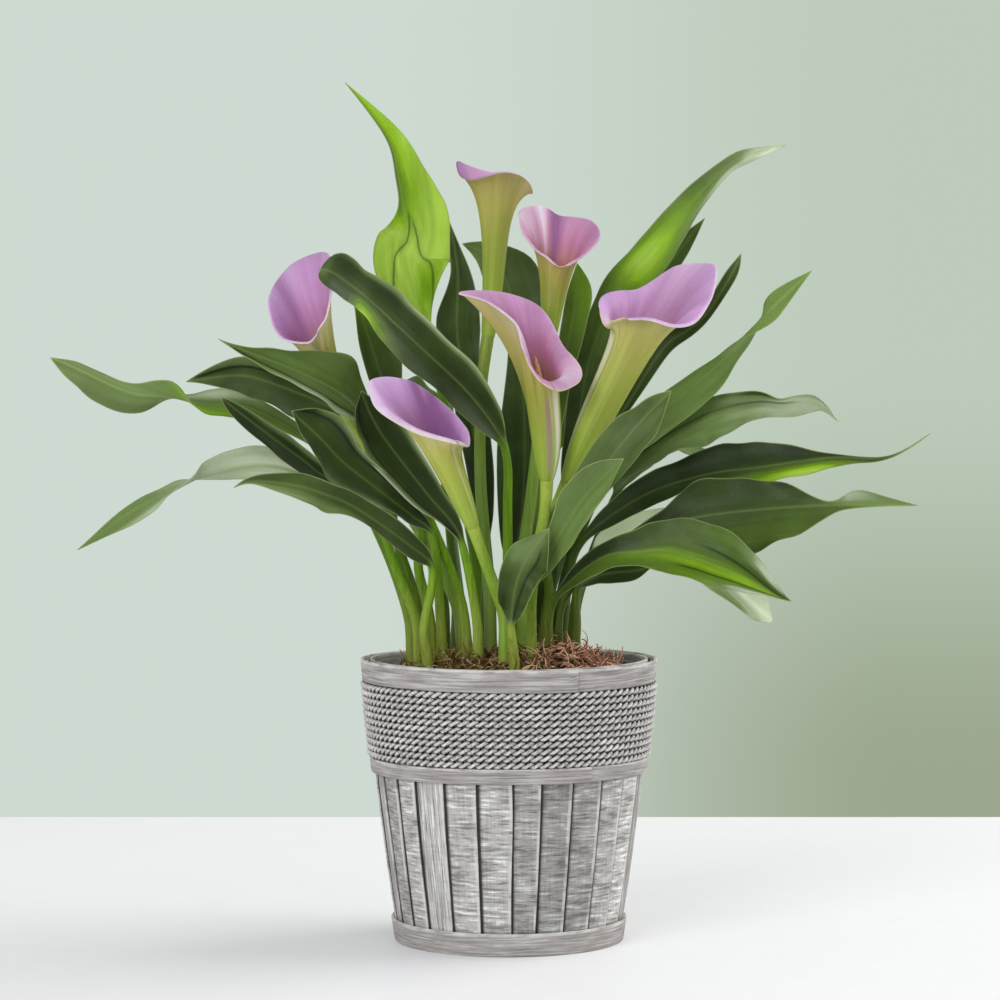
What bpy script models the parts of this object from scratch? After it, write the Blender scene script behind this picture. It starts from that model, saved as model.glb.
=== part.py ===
"""Potted calla lily: six flowers and their leaves, in a nursery pot inside a slatted wooden basket.

The origin is the centre of the basket's underside, with +Z up and the front of the plant towards -Y.
Every length below is in millimetres, and finish() turns each piece into metres.
"""

import math

import bmesh
import bpy
from mathutils import Matrix, Vector, noise

MM = 0.001
GAP = 0.3
MERGE_DISTANCE = 0.01
SHARP_ANGLE = 40.0

# Basket: the outer radius of its slat wall at height z is FOOT + FLARE z - CURVE z^2.
BASKET_HEIGHT = 168.0
WALL_FOOT = 65.9
WALL_FLARE = 0.165
WALL_CURVE = 0.00026
SLATS = 26
SLAT_THICKNESS = 1.6
SLAT_LAP = 0.8
SLAT_TOP = 166.5
RING_SEGMENTS = 2 * SLATS
HOOP_THICKNESS = 2.2
TOP_HOOP_FOOT = 155.0
INNER_HOOP_FOOT = 156.0
MIDDLE_HOOP = (101.4, 110.3)
BOTTOM_HOOP_TOP = 13.6
ROPE_TURNS = 11
ROPE_PITCH = 4.0
ROPE_FOOT = 110.7
ROPE_INSET = 1.0
ROPE_GROOVE = 1.5
ROPE_CREST = 3.2
BOARD_THICKNESS = 7.0

# Liner and nursery pot, nested inside the basket.
LINER_SEGMENTS = 28
LINER_INSET = 3.2
LINER_WALL = 0.6
LINER_TOP = 161.0
POT_SEGMENTS = 28
POT_FOOT_RADIUS = 54.0
POT_TOP_RADIUS = 73.5
POT_WALL = 1.2
POT_TOP = 161.0
POT_RIM = (76.0, 8.0)
POT_HOLES = 6
POT_HOLE_RADIUS = 4.0
POT_HOLE_DEPTH = 8.0
POT_HOLE_CIRCLE = 0.68 * POT_FOOT_RADIUS

# Soil and mulch: the stalks stand in pockets that reach down to ROOT_Z.
SOIL_TOP = 156.0
SOIL_CLEARANCE = 0.7
ROOT_Z = 134.0
MULCH_SEGMENTS = 20
MULCH_EDGE = 66.0
MULCH_EDGE_HEIGHT = 3.0
MULCH_SHOULDER = 0.8 * MULCH_EDGE
MULCH_TOP = 164.5
LUMP_HEIGHT = 2.0
LUMP_SIZE = 16.0
COLLAR_Z = 174.0
POCKET_MARGIN = 0.35

# Leaves
CURVE_STEPS = 16
LEAF_SIDES = 8
LEAF_STATIONS = 11
STALK_FOOT = 3.9
STALK_NECK = 2.6
LEAF_TIP = 0.7
BLADE_HALF_THICKNESS = 0.55
BLADE_SHOULDER = 0.78
FOLD_POWER = 1.4

# Flowers
STEM_FOOT = 4.2
STEM_TOP = 3.3
STEM_STATIONS = 8
SPATHE_THICKNESS = 1.0
SPATHE_FOOT = 4.6
SPATHE_SLEEVE = 6.0
SPATHE_COLUMNS = 13
SPATHE_ROWS = 6
SPATHE_OVERLAP = 0.35
SPATHE_STEP = 1.7
SPATHE_THROAT = 0.45
SPATHE_THROAT_WIDENING = 1.5
SPATHE_FLARE_START = 0.78
SPATHE_FLARE = 0.45
SPATHE_TIP_WIDTH = 0.45
SPADIX_SIDES = 6
SPADIX_RADIUS = 2.2
SPADIX_LENGTH = 34.0
SPADIX_LEAN = 0.45
SPADIX_PROFILE = ((0, 0.8), (0.1, 1), (0.5, 1), (0.85, 0.8), (1, 0.35))

# Each leaf: (x, y) where its stalk leaves the tuber, its midrib's points from above the mulch to the tip,
# the share of the midrib where the blade starts, the blade's greatest half width, the way its upper
# side faces at the neck and at the tip, and the angle at which each half is folded up.
LEAVES = {
    "leaf_tall_back": {
        "root": (-15, 36),
        "midrib": [(-16, 37, 202), (-29, 44, 274), (-42, 50, 332), (-50, 52, 378), (-52, 52, 412),
                   (-57, 50, 446), (-65, 46, 476), (-79, 42, 500), (-100, 38, 516)],
        "neck": 0.42, "width": 25, "face": (0.1, -1, 0.1), "tip_face": (0.2, -1, 0.1), "fold": 22,
        "shoulder": 0.48,
    },
    "leaf_arching_front": {
        "root": (-5, -14),
        "midrib": [(-1, -15, 204), (-1, -16, 263), (-6, -22, 305), (-26, -34, 337), (-49, -46, 360),
                   (-72, -56, 380), (-91, -62, 396), (-101, -57, 399), (-107, -48, 392)],
        "neck": 0.33, "width": 17, "face": (0.5, -0.8, 0.5), "tip_face": (0.1, -0.9, 0.5), "fold": 12,
        "shoulder": 1.2,
    },
    "leaf_small_left": {
        "root": (-40, 26),
        "midrib": [(-40, 26, 202), (-52, 24, 250), (-68, 18, 299), (-80, 12, 335), (-87, 8, 362),
                   (-90, 6, 381)],
        "neck": 0.5, "width": 9, "face": (0.2, -1, 0.2), "tip_face": (0.2, -1, 0.2), "fold": 20,
    },
    "leaf_dark_middle": {
        "root": (-14, 22),
        "midrib": [(-14, 22, 202), (-16, 25, 274), (-21, 30, 323), (-25, 35, 365), (-31, 37, 399),
                   (-36, 37, 425)],
        "neck": 0.4, "width": 12, "face": (0.4, -1, 0), "tip_face": (0.4, -1, 0), "fold": 25,
    },
    "leaf_grey_back": {
        "root": (-2, 46),
        "midrib": [(-2, 48, 200), (-2, 56, 273), (-2, 61, 323), (-3, 64, 366), (-7, 64, 397),
                   (-18, 60, 421)],
        "neck": 0.35, "width": 22, "face": (0, -1, 0.2), "tip_face": (0.2, -1, 0.2), "fold": 15,
    },
    "leaf_bright_point": {
        "root": (3, 26),
        "midrib": [(9, 25, 202), (22, 22, 262), (31, 19, 305), (38, 17, 341), (43, 15, 377),
                   (42, 13, 404)],
        "neck": 0.45, "width": 11, "face": (0.2, -1, 0), "tip_face": (0.2, -1, 0), "fold": 22,
    },
    "leaf_upright_right": {
        "root": (11, 36),
        "midrib": [(19, 37, 201), (31, 38, 250), (49, 37, 304), (63, 31, 353), (76, 23, 398),
                   (97, 14, 429), (122, 6, 452), (145, 0, 468), (165, -4, 474)],
        "neck": 0.4, "width": 19, "face": (-0.3, -0.9, 0.4), "tip_face": (0.2, -0.9, 0.6), "fold": 24,
    },
    "leaf_upright_behind": {
        "root": (18, 48),
        "midrib": [(24, 54, 200), (38, 60, 244), (57, 63, 298), (76, 61, 352), (90, 57, 388),
                   (106, 52, 415), (122, 46, 434)],
        "neck": 0.45, "width": 14, "face": (-0.2, -1, 0.2), "tip_face": (0, -1, 0.3), "fold": 22,
    },
    "leaf_slender_right": {
        "root": (26, 37),
        "midrib": [(31, 40, 200), (44, 43, 250), (64, 40, 300), (81, 34, 332), (99, 28, 356),
                   (118, 24, 373), (132, 20, 389), (140, 18, 409)],
        "neck": 0.5, "width": 7, "face": (-0.3, -1, 0.3), "tip_face": (-0.3, -1, 0.3), "fold": 30,
    },
    "leaf_twisted_right": {
        "root": (15, 16),
        "midrib": [(24, 17, 202), (43, 14, 262), (67, 8, 296), (93, 2, 318), (121, -6, 340),
                   (146, -12, 366), (165, -16, 384), (180, -20, 398)],
        "neck": 0.38, "width": 15, "face": (-0.3, -0.8, 0.5), "tip_face": (0.5, -0.6, 0.3), "fold": 22,
    },
    "leaf_curly_right": {
        "root": (25, 26),
        "midrib": [(34, 25, 212), (61, 22, 272), (88, 16, 300), (115, 10, 311), (142, 6, 318),
                   (168, 2, 326), (185, 0, 323), (197, -4, 309)],
        "neck": 0.36, "width": 18, "face": (-0.1, -0.7, 0.7), "tip_face": (0.4, -0.8, 0.3), "fold": 16,
    },
    "leaf_broad_middle": {
        "root": (15, -5),
        "midrib": [(24, -18, 206), (36, -40, 246), (48, -56, 273), (62, -62, 293), (79, -60, 314),
                   (93, -54, 327)],
        "neck": 0.3, "width": 17, "face": (-0.3, -0.9, 0.4), "tip_face": (-0.3, -0.9, 0.4), "fold": 14,
    },
    "leaf_front_small": {
        "root": (12, -32),
        "midrib": [(16, -46, 206), (26, -64, 236), (38, -78, 259), (52, -86, 278), (66, -90, 289)],
        "neck": 0.3, "width": 12, "face": (-0.4, -0.9, 0.3), "tip_face": (-0.4, -0.9, 0.4), "fold": 20,
    },
    "leaf_long_dark": {
        "root": (27, 9),
        "midrib": [(35, 10, 209), (55, 10, 245), (79, 8, 266), (109, 6, 279), (139, 2, 284),
                   (171, -2, 285), (203, -5, 286), (233, -8, 292), (251, -10, 302)],
        "neck": 0.3, "width": 15, "face": (-0.1, -0.8, 0.6), "tip_face": (0, -0.5, 0.8), "fold": 16,
    },
    "leaf_big_dark_right": {
        "root": (26, -6),
        "midrib": [(31, -12, 202), (51, -22, 228), (77, -30, 240), (106, -36, 250), (135, -41, 256),
                   (164, -44, 256), (190, -46, 262), (213, -48, 262), (237, -50, 261)],
        "neck": 0.3, "width": 28, "face": (-0.1, -0.9, 0.5), "tip_face": (0, -0.6, 0.7), "fold": 12,
        "shoulder": 0.62,
    },
    "leaf_bright_low": {
        "root": (18, -18),
        "midrib": [(23, -38, 199), (34, -54, 215), (53, -66, 227), (81, -76, 235), (109, -84, 236),
                   (132, -92, 226), (151, -98, 213), (162, -102, 206)],
        "neck": 0.26, "width": 17, "face": (-0.1, -0.6, 0.8), "tip_face": (0.3, -0.7, 0.6), "fold": 14,
    },
    "leaf_small_low": {
        "root": (35, -14),
        "midrib": [(40, -15, 190), (50, -18, 206), (64, -20, 216), (78, -20, 219), (90, -20, 217)],
        "neck": 0.35, "width": 7, "face": (0, -0.8, 0.6), "tip_face": (0, -0.8, 0.6), "fold": 15,
    },
    "leaf_pale_hanging": {
        "root": (36, 18),
        "midrib": [(41, 26, 202), (58, 36, 221), (84, 42, 226), (110, 47, 218), (138, 50, 204),
                   (165, 52, 188)],
        "neck": 0.35, "width": 12, "face": (0.3, -0.7, 0.7), "tip_face": (0.4, -0.8, 0.3), "fold": 16,
    },
    "leaf_far_left": {
        "root": (-56, 6),
        "midrib": [(-60, 9, 192), (-77, 18, 238), (-103, 24, 276), (-133, 26, 297), (-166, 24, 312),
                   (-193, 20, 320), (-223, 14, 326), (-249, 8, 337), (-276, 4, 347)],
        "neck": 0.34, "width": 11, "face": (0.2, -0.8, 0.6), "tip_face": (0.3, -0.8, 0.6), "fold": 12,
        "shoulder": 1.0,
    },
    "leaf_left_dark": {
        "root": (-47, 15),
        "midrib": [(-53, 17, 194), (-69, 18, 242), (-90, 16, 278), (-111, 12, 306), (-132, 6, 323),
                   (-152, -2, 334), (-171, -8, 338), (-190, -14, 334)],
        "neck": 0.36, "width": 14, "face": (0.2, -0.8, 0.6), "tip_face": (0.1, -0.8, 0.6), "fold": 16,
    },
    "leaf_over_left_flower": {
        "root": (-20, -10),
        "midrib": [(-29, -10, 205), (-47, -17, 251), (-64, -26, 287), (-80, -36, 312), (-99, -46, 329),
                   (-122, -54, 340), (-144, -56, 348), (-168, -58, 356)],
        "neck": 0.36, "width": 18, "face": (0.2, -0.8, 0.6), "tip_face": (0.2, -0.6, 0.8), "fold": 22,
    },
    "leaf_narrow_left": {
        "root": (-43, 1),
        "midrib": [(-48, 0, 196), (-55, -4, 226), (-68, -12, 250), (-90, -20, 268), (-114, -27, 282),
                   (-140, -32, 304), (-165, -36, 320)],
        "neck": 0.3, "width": 11, "face": (0.3, -0.8, 0.5), "tip_face": (0.4, -0.8, 0.4), "fold": 18,
    },
    "leaf_big_left": {
        "root": (-38, -9),
        "midrib": [(-41, -17, 198), (-47, -33, 228), (-58, -48, 255), (-74, -58, 277), (-92, -65, 295),
                   (-109, -73, 307), (-124, -79, 314)],
        "neck": 0.32, "width": 17, "face": (0.4, -0.8, 0.5), "tip_face": (0.4, -0.7, 0.6), "fold": 15,
    },
    "leaf_behind_low_flower": {
        "root": (-17, -25),
        "midrib": [(-19, -26, 193), (-24, -28, 222), (-34, -28, 252), (-48, -29, 278), (-66, -38, 301),
                   (-82, -50, 319)],
        "neck": 0.35, "width": 14, "face": (0.4, -0.8, 0.5), "tip_face": (0.4, -0.8, 0.5), "fold": 15,
    },
    "leaf_low_left": {
        "root": (-52, -7),
        "midrib": [(-55, -8, 191), (-67, -8, 221), (-87, -6, 247), (-113, -5, 268), (-137, -6, 283),
                   (-160, -10, 283), (-184, -16, 275), (-206, -22, 266), (-232, -29, 252),
                   (-253, -36, 236)],
        "neck": 0.36, "width": 12, "face": (0.2, -0.8, 0.6), "tip_face": (-0.3, -0.8, 0.5), "fold": 14,
    },
    "leaf_low_left_front": {
        "root": (-45, -19),
        "midrib": [(-50, -30, 190), (-58, -44, 212), (-70, -57, 234), (-90, -70, 256), (-112, -80, 270),
                   (-136, -88, 278), (-156, -94, 273)],
        "neck": 0.34, "width": 12, "face": (0.3, -0.8, 0.5), "tip_face": (0, -0.8, 0.6), "fold": 15,
    },
    "leaf_front_centre": {
        "root": (6, -46),
        "midrib": [(4, -54, 190), (6, -63, 213), (13, -71, 231), (24, -77, 248)],
        "neck": 0.28, "width": 10, "face": (0, -1, 0.2), "tip_face": (0.2, -1, 0.2), "fold": 30,
    },
    "leaf_rear_left": {
        "root": (-24, 48),
        "midrib": [(-27, 62, 205), (-38, 92, 268), (-55, 126, 318), (-74, 162, 336), (-92, 196, 326)],
        "neck": 0.35, "width": 19, "face": (0.2, -0.5, 0.85), "tip_face": (-0.2, 0.4, 0.9), "fold": 16,
    },
    "leaf_rear_middle": {
        "root": (5, 58),
        "midrib": [(9, 74, 206), (20, 108, 278), (32, 142, 322), (44, 176, 336), (54, 206, 326)],
        "neck": 0.33, "width": 20, "face": (0, -0.5, 0.85), "tip_face": (0.1, 0.4, 0.9), "fold": 14,
    },
    "leaf_rear_right": {
        "root": (37, 38),
        "midrib": [(42, 56, 200), (60, 86, 252), (84, 118, 284), (112, 150, 292), (138, 180, 280)],
        "neck": 0.33, "width": 17, "face": (-0.2, -0.4, 0.9), "tip_face": (0.2, 0.4, 0.9), "fold": 15,
    },
}

# Each flower: (x, y) of the stem's root, the stem's points up to the foot of the spathe, the centre of
# the spathe's mouth, the half axis of the mouth towards its tip, the half axis across it, and how far
# the pointed tip reaches beyond the mouth.
FLOWERS = {
    "middle": {
        "root": (6, -22), "stem": [(9, -26, 200), (16, -34, 232), (21, -41, 258), (22, -45, 281)],
        "mouth": (19, -42, 352), "to_tip": (-11, 26, 25), "across": (15, 0, -2), "tip": (-27, 6, 9),
    },
    "right": {
        "root": (4, -3), "stem": [(8, -6, 200), (19, -14, 238), (29, -22, 262), (36, -28, 279)],
        "mouth": (86, -30, 381), "to_tip": (33, 8, 9), "across": (-3, -24, -13), "tip": (5, 14, 12),
    },
    "low": {
        "root": (-2, -36), "stem": [(-3, -40, 196), (-9, -46, 214), (-16, -54, 234), (-23, -62, 254)],
        "mouth": (-49, -68, 312), "to_tip": (-22, -3, 12), "across": (1, -18, -14), "tip": (-9, -2, 4),
    },
    "left": {
        "root": (-22, 5), "stem": [(-32, 5, 202), (-54, 0, 245), (-76, -4, 280), (-94, -8, 311)],
        "mouth": (-123, -25, 381), "to_tip": (13, 12, 26), "across": (17, -10, -1), "tip": (6, 4, 6),
    },
    "top": {
        "root": (-10, 10), "stem": [(-10, 10, 210), (-10, 12, 270), (-11, 16, 325), (-11, 22, 366)],
        "mouth": (-6, 28, 457), "to_tip": (-17, -8, 5), "across": (5, 17, 3), "tip": (-8, -4, 4),
    },
    "upper": {
        "root": (3, 12), "stem": [(6, 10, 210), (14, 6, 270), (20, 5, 325), (24, 6, 362)],
        "mouth": (29, 8, 416), "to_tip": (-13, 8, 16), "across": (20, -6, 7), "tip": (-6, 2, 6),
    },
}

COLOURS = {
    "wood": ((0.55, 0.53, 0.52), 0.8),
    "rope": ((0.5, 0.49, 0.48), 0.9),
    "liner": ((0.05, 0.05, 0.045), 0.4),
    "pot": ((0.03, 0.03, 0.03), 0.5),
    "soil": ((0.06, 0.04, 0.03), 0.95),
    "moss": ((0.35, 0.2, 0.09), 0.95),
    "leaf": ((0.06, 0.14, 0.03), 0.45),
    "stem": ((0.3, 0.45, 0.08), 0.4),
    "spathe": ((0.5, 0.24, 0.52), 0.45),
    "spadix": ((0.75, 0.55, 0.3), 0.6),
}


def clear_scene():
    for item in list(bpy.data.objects):
        bpy.data.objects.remove(item)


def material_of(name, kind):
    colour, roughness = COLOURS[kind]
    material = bpy.data.materials.new(name)
    material.use_nodes = True
    shader = material.node_tree.nodes["Principled BSDF"]
    shader.inputs["Base Color"].default_value = (*colour, 1)
    shader.inputs["Roughness"].default_value = roughness
    shader.inputs["Metallic"].default_value = 0.0
    return material


def finish(bm, name, kind):
    """Turns a bmesh in millimetres into a named object in metres, with its own material."""
    bm.normal_update()
    bmesh.ops.recalc_face_normals(bm, faces=bm.faces)
    bmesh.ops.scale(bm, vec=(MM, MM, MM), verts=bm.verts)
    mesh = bpy.data.meshes.new(name)
    bm.to_mesh(mesh)
    bm.free()
    mesh.shade_smooth()
    mesh.set_sharp_from_angle(angle=math.radians(SHARP_ANGLE))
    mesh.materials.append(material_of(name, kind))
    piece = bpy.data.objects.new(name, mesh)
    bpy.context.collection.objects.link(piece)
    return piece


def wall_radius(z):
    return WALL_FOOT + WALL_FLARE * z - WALL_CURVE * z * z


def turned(outline, segments, closed=True):
    """A solid of revolution about Z, from (radius, z) points.

    An outline that is not closed starts and ends on the axis.
    """
    bm = bmesh.new()
    points = [bm.verts.new((radius, 0, z)) for radius, z in outline]
    pairs = list(zip(points, points[1:]))
    if closed:
        pairs.append((points[-1], points[0]))
    edges = [bm.edges.new(pair) for pair in pairs]
    bmesh.ops.spin(
        bm, geom=points + edges, cent=(0, 0, 0), axis=(0, 0, 1), angle=2 * math.pi, steps=segments,
        use_merge=True,
    )
    bmesh.ops.remove_doubles(bm, verts=bm.verts, dist=MERGE_DISTANCE)
    return bm


def band(foot, top, inner_gap, thickness):
    """A hoop's outline: its near face stands inner_gap outside the slat wall's outer face."""
    def face(z, offset):
        return (wall_radius(z) + offset, z)
    near, far = inner_gap, inner_gap + thickness
    return [face(foot, near), face(foot, far), face(top, far), face(top, near)]


def build_hoops():
    outer = GAP
    inner = -SLAT_THICKNESS - SLAT_LAP - GAP - HOOP_THICKNESS
    hoops = {
        "basket_top_hoop": (TOP_HOOP_FOOT, BASKET_HEIGHT, outer),
        "basket_inner_hoop": (INNER_HOOP_FOOT, BASKET_HEIGHT, inner),
        "basket_middle_hoop": (*MIDDLE_HOOP, outer),
        "basket_bottom_hoop": (0.0, BOTTOM_HOOP_TOP, outer),
    }
    for name, (foot, top, offset) in hoops.items():
        thickness = HOOP_THICKNESS - (GAP if offset < 0 else 0)
        finish(turned(band(foot, top, offset, thickness), RING_SEGMENTS), name, "wood")


def build_slat_wall():
    """The slats lap like clapboards: each runs from the inner to the outer edge of the step."""
    levels = [0.0, 45.0, 100.0, SLAT_TOP]
    outer = [(wall_radius(z), z) for z in levels]
    inner = [(wall_radius(z) - SLAT_THICKNESS - SLAT_LAP, z) for z in reversed(levels)]
    bm = turned(outer + inner, RING_SEGMENTS)
    step = 2 * math.pi / RING_SEGMENTS
    for vert in bm.verts:
        radius = vert.co.xy.length
        on_outer_face = radius > wall_radius(vert.co.z) - SLAT_THICKNESS / 2
        lapped = round(math.atan2(vert.co.y, vert.co.x) / step) % 2
        if on_outer_face and lapped:
            vert.co.xy *= (radius - SLAT_LAP) / radius
    finish(bm, "basket_slat_wall", "wood")


def build_rope():
    """One cord wound side by side: as a solid, a sleeve with a rib for every turn."""
    def face(z, depth):
        return (wall_radius(z) + ROPE_INSET + depth, z)
    top = ROPE_FOOT + ROPE_TURNS * ROPE_PITCH
    outline = []
    for turn in range(ROPE_TURNS):
        foot = ROPE_FOOT + turn * ROPE_PITCH
        outline += [face(foot, ROPE_GROOVE), face(foot + ROPE_PITCH / 2, ROPE_CREST)]
    outline += [face(top, ROPE_GROOVE), face(top, 0), face(ROPE_FOOT, 0)]
    finish(turned(outline, SLATS), "basket_rope_wrap", "rope")


def build_base_board():
    def edge(z):
        return wall_radius(z) - SLAT_THICKNESS - SLAT_LAP - GAP
    outline = [(0, 0), (edge(0), 0), (edge(BOARD_THICKNESS), BOARD_THICKNESS), (0, BOARD_THICKNESS)]
    finish(turned(outline, RING_SEGMENTS, closed=False), "basket_base_board", "wood")


def liner_radius(z):
    return wall_radius(z) - SLAT_THICKNESS - SLAT_LAP - LINER_INSET


def build_liner():
    floor = BOARD_THICKNESS + GAP
    levels = [floor, 60.0, 115.0, LINER_TOP]
    outer = [(liner_radius(z), z) for z in levels]
    inner = [(liner_radius(z) - LINER_WALL, z) for z in reversed(levels[1:])]
    inner.append((liner_radius(floor) - LINER_WALL, floor + LINER_WALL))
    outline = [(0, floor), *outer, *inner, (0, floor + LINER_WALL)]
    finish(turned(outline, LINER_SEGMENTS, closed=False), "plastic_liner", "liner")


def pot_floor():
    return BOARD_THICKNESS + LINER_WALL + 2 * GAP


def pot_radius(z):
    share = (z - pot_floor()) / (POT_TOP - pot_floor())
    return POT_FOOT_RADIUS + (POT_TOP_RADIUS - POT_FOOT_RADIUS) * share


def build_nursery_pot():
    floor = pot_floor()
    rim_radius, rim_height = POT_RIM
    rim_foot = POT_TOP - rim_height
    outline = [
        (0, floor),
        (pot_radius(floor), floor),
        (pot_radius(rim_foot), rim_foot),
        (rim_radius, rim_foot),
        (rim_radius, POT_TOP),
        (pot_radius(POT_TOP) - POT_WALL, POT_TOP),
        (pot_radius(floor) - POT_WALL, floor + POT_WALL),
        (0, floor + POT_WALL),
    ]
    pot = finish(turned(outline, POT_SEGMENTS, closed=False), "nursery_pot", "pot")
    holes = bmesh.new()
    for index in range(POT_HOLES):
        angle = 2 * math.pi * (index + 0.5) / POT_HOLES
        centre = (POT_HOLE_CIRCLE * math.cos(angle), POT_HOLE_CIRCLE * math.sin(angle), floor)
        bmesh.ops.create_cone(
            holes, cap_ends=True, segments=8, radius1=POT_HOLE_RADIUS, radius2=POT_HOLE_RADIUS,
            depth=POT_HOLE_DEPTH, matrix=Matrix.Translation(centre),
        )
    cut(pot, finish(holes, "pot_hole_cutters", "pot"))


def cut(piece, cutter):
    """Takes the cutter's shape out of the piece. The cutter is a guide, not a part."""
    cutter.hide_render = True
    cutter.display_type = "WIRE"
    boolean = piece.modifiers.new("cut by " + cutter.name, "BOOLEAN")
    boolean.operation = "DIFFERENCE"
    boolean.solver = "EXACT"
    boolean.object = cutter


def smooth_path(points, count):
    """A straight first span, then a Catmull-Rom curve through the rest of the points.

    The curve is sampled at count places spaced evenly along it.
    """
    dense = []
    for index in range(1, len(points) - 1):
        before, here, there = points[index - 1:index + 2]
        after = points[min(index + 2, len(points) - 1)]
        for step in range(CURVE_STEPS):
            t = step / CURVE_STEPS
            dense.append(
                0.5 * (2 * here + (there - before) * t + (2 * before - 5 * here + 4 * there - after) * t * t
                       + (3 * here - before - 3 * there + after) * t ** 3)
            )
    dense.append(points[-1])
    reach = [0.0]
    for here, there in zip(dense, dense[1:]):
        reach.append(reach[-1] + (there - here).length)
    samples = []
    for index in range(count):
        wanted = reach[-1] * index / (count - 1)
        place = next(k for k in range(1, len(reach)) if reach[k] >= wanted - 1e-9)
        share = (wanted - reach[place - 1]) / (reach[place] - reach[place - 1])
        samples.append(dense[place - 1].lerp(dense[place], share))
    return [points[0]] + samples


def stalk_points(root, points):
    """The root, the collar straight above the mulch on the way to the first point, then the points."""
    foot = Vector((*root, ROOT_Z))
    first = Vector(points[0])
    collar = foot.lerp(first, (COLLAR_Z - ROOT_Z) / (first.z - ROOT_Z))
    return [foot, collar] + [Vector(point) for point in points]


def tangents(path):
    result = [(path[1] - path[0]).normalized()]
    for before, after in zip(path, path[2:]):
        result.append((after - before).normalized())
    result.append((path[-1] - path[-2]).normalized())
    return result


def tube_blank(sides, stations):
    """A capped cylinder, cut across its length: each vertex's z is its station's number."""
    bm = bmesh.new()
    depth = stations - 1
    bmesh.ops.create_cone(bm, cap_ends=True, segments=sides, radius1=1, radius2=1, depth=depth)
    long_edges = [edge for edge in bm.edges if edge.verts[0].co.z * edge.verts[1].co.z < 0]
    bmesh.ops.subdivide_edges(bm, edges=long_edges, cuts=stations - 2, use_grid_fill=True)
    bmesh.ops.translate(bm, vec=(0, 0, depth / 2), verts=bm.verts)
    return bm


def swept(sides, frames):
    """A tube whose section at each station comes from frames: (centre, side axis, up axis, fold rise)."""
    bm = tube_blank(sides, len(frames))
    for vert in bm.verts:
        centre, side, up, rise = frames[round(vert.co.z)]
        across = vert.co.x
        vert.co = centre + side * across + up * vert.co.y + rise * abs(across) ** FOLD_POWER
    return bm


def blade_profile(share, shoulder):
    """Half width along the blade as a share of the greatest, from the neck (0) to the tip (1).

    A smaller shoulder puts the widest place nearer the neck and draws the tip out longer.
    """
    return math.sin(math.pi * min(max(share, 0.0), 1.0) ** shoulder)


def leaf_frames(leaf):
    path = smooth_path(stalk_points(leaf["root"], leaf["midrib"]), LEAF_STATIONS)
    facing, tip_facing = Vector(leaf["face"]), Vector(leaf["tip_face"])
    frames = []
    for index, (centre, along) in enumerate(zip(path, tangents(path))):
        share = max(0.0, (index - 1) / (len(path) - 2))
        wanted = facing.lerp(tip_facing, share)
        up = (wanted - wanted.project(along)).normalized()
        side = along.cross(up)
        blade = (share - leaf["neck"]) / (1 - leaf["neck"])
        stalk = STALK_FOOT + (STALK_NECK - STALK_FOOT) * min(share / leaf["neck"], 1.0)
        if blade <= 0:
            frames.append((centre, side * stalk, up * stalk, Vector()))
            continue
        stalk = LEAF_TIP + (STALK_NECK - LEAF_TIP) * (1 - blade)
        profile = blade_profile(blade, leaf.get("shoulder", BLADE_SHOULDER))
        half_width = math.hypot(stalk, leaf["width"] * profile)
        thickness = max(BLADE_HALF_THICKNESS, stalk * (1 - blade) ** 3)
        if index == len(path) - 1:
            thickness = BLADE_HALF_THICKNESS / 2
        rise = up * half_width * math.tan(math.radians(leaf["fold"]))
        frames.append((centre, side * half_width, up * thickness, rise))
    return frames


def stem_frames(flower):
    path = smooth_path(stalk_points(flower["root"], flower["stem"]), STEM_STATIONS)
    frames = []
    for index, (centre, along) in enumerate(zip(path, tangents(path))):
        share = max(0.0, (index - 1) / (len(path) - 2))
        radius = STEM_FOOT + (STEM_TOP - STEM_FOOT) * share
        ahead = Vector((0, -1, 0))
        up = (ahead - ahead.project(along)).normalized()
        frames.append((centre, along.cross(up) * radius, up * radius, Vector()))
    return frames


def add_pocket(cutters, frames):
    """The room that a stalk needs in the soil and the mulch: its straight foot, a little wider."""
    (foot, side, up, _), (collar, collar_side, collar_up, _) = frames[:2]
    along = (collar - foot).normalized()
    low = foot - along * 2 * GAP
    ends = [(low, side, up), (collar, collar_side, collar_up)]
    pocket = bmesh.new()
    bmesh.ops.create_cone(pocket, cap_ends=True, segments=LEAF_SIDES, radius1=1, radius2=1, depth=1)
    for vert in pocket.verts:
        centre, across, forward = ends[int(vert.co.z > 0)]
        wider = 1 + POCKET_MARGIN / across.length
        vert.co = centre + (across * vert.co.x + forward * vert.co.y) * wider
    pocket.normal_update()
    bmesh.ops.recalc_face_normals(pocket, faces=pocket.faces)
    mesh = bpy.data.meshes.new("pocket")
    pocket.to_mesh(mesh)
    pocket.free()
    cutters.from_mesh(mesh)
    bpy.data.meshes.remove(mesh)


def build_leaves(cutters):
    for name, leaf in LEAVES.items():
        frames = leaf_frames(leaf)
        finish(swept(LEAF_SIDES, frames), name, "leaf")
        add_pocket(cutters, frames)


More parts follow.
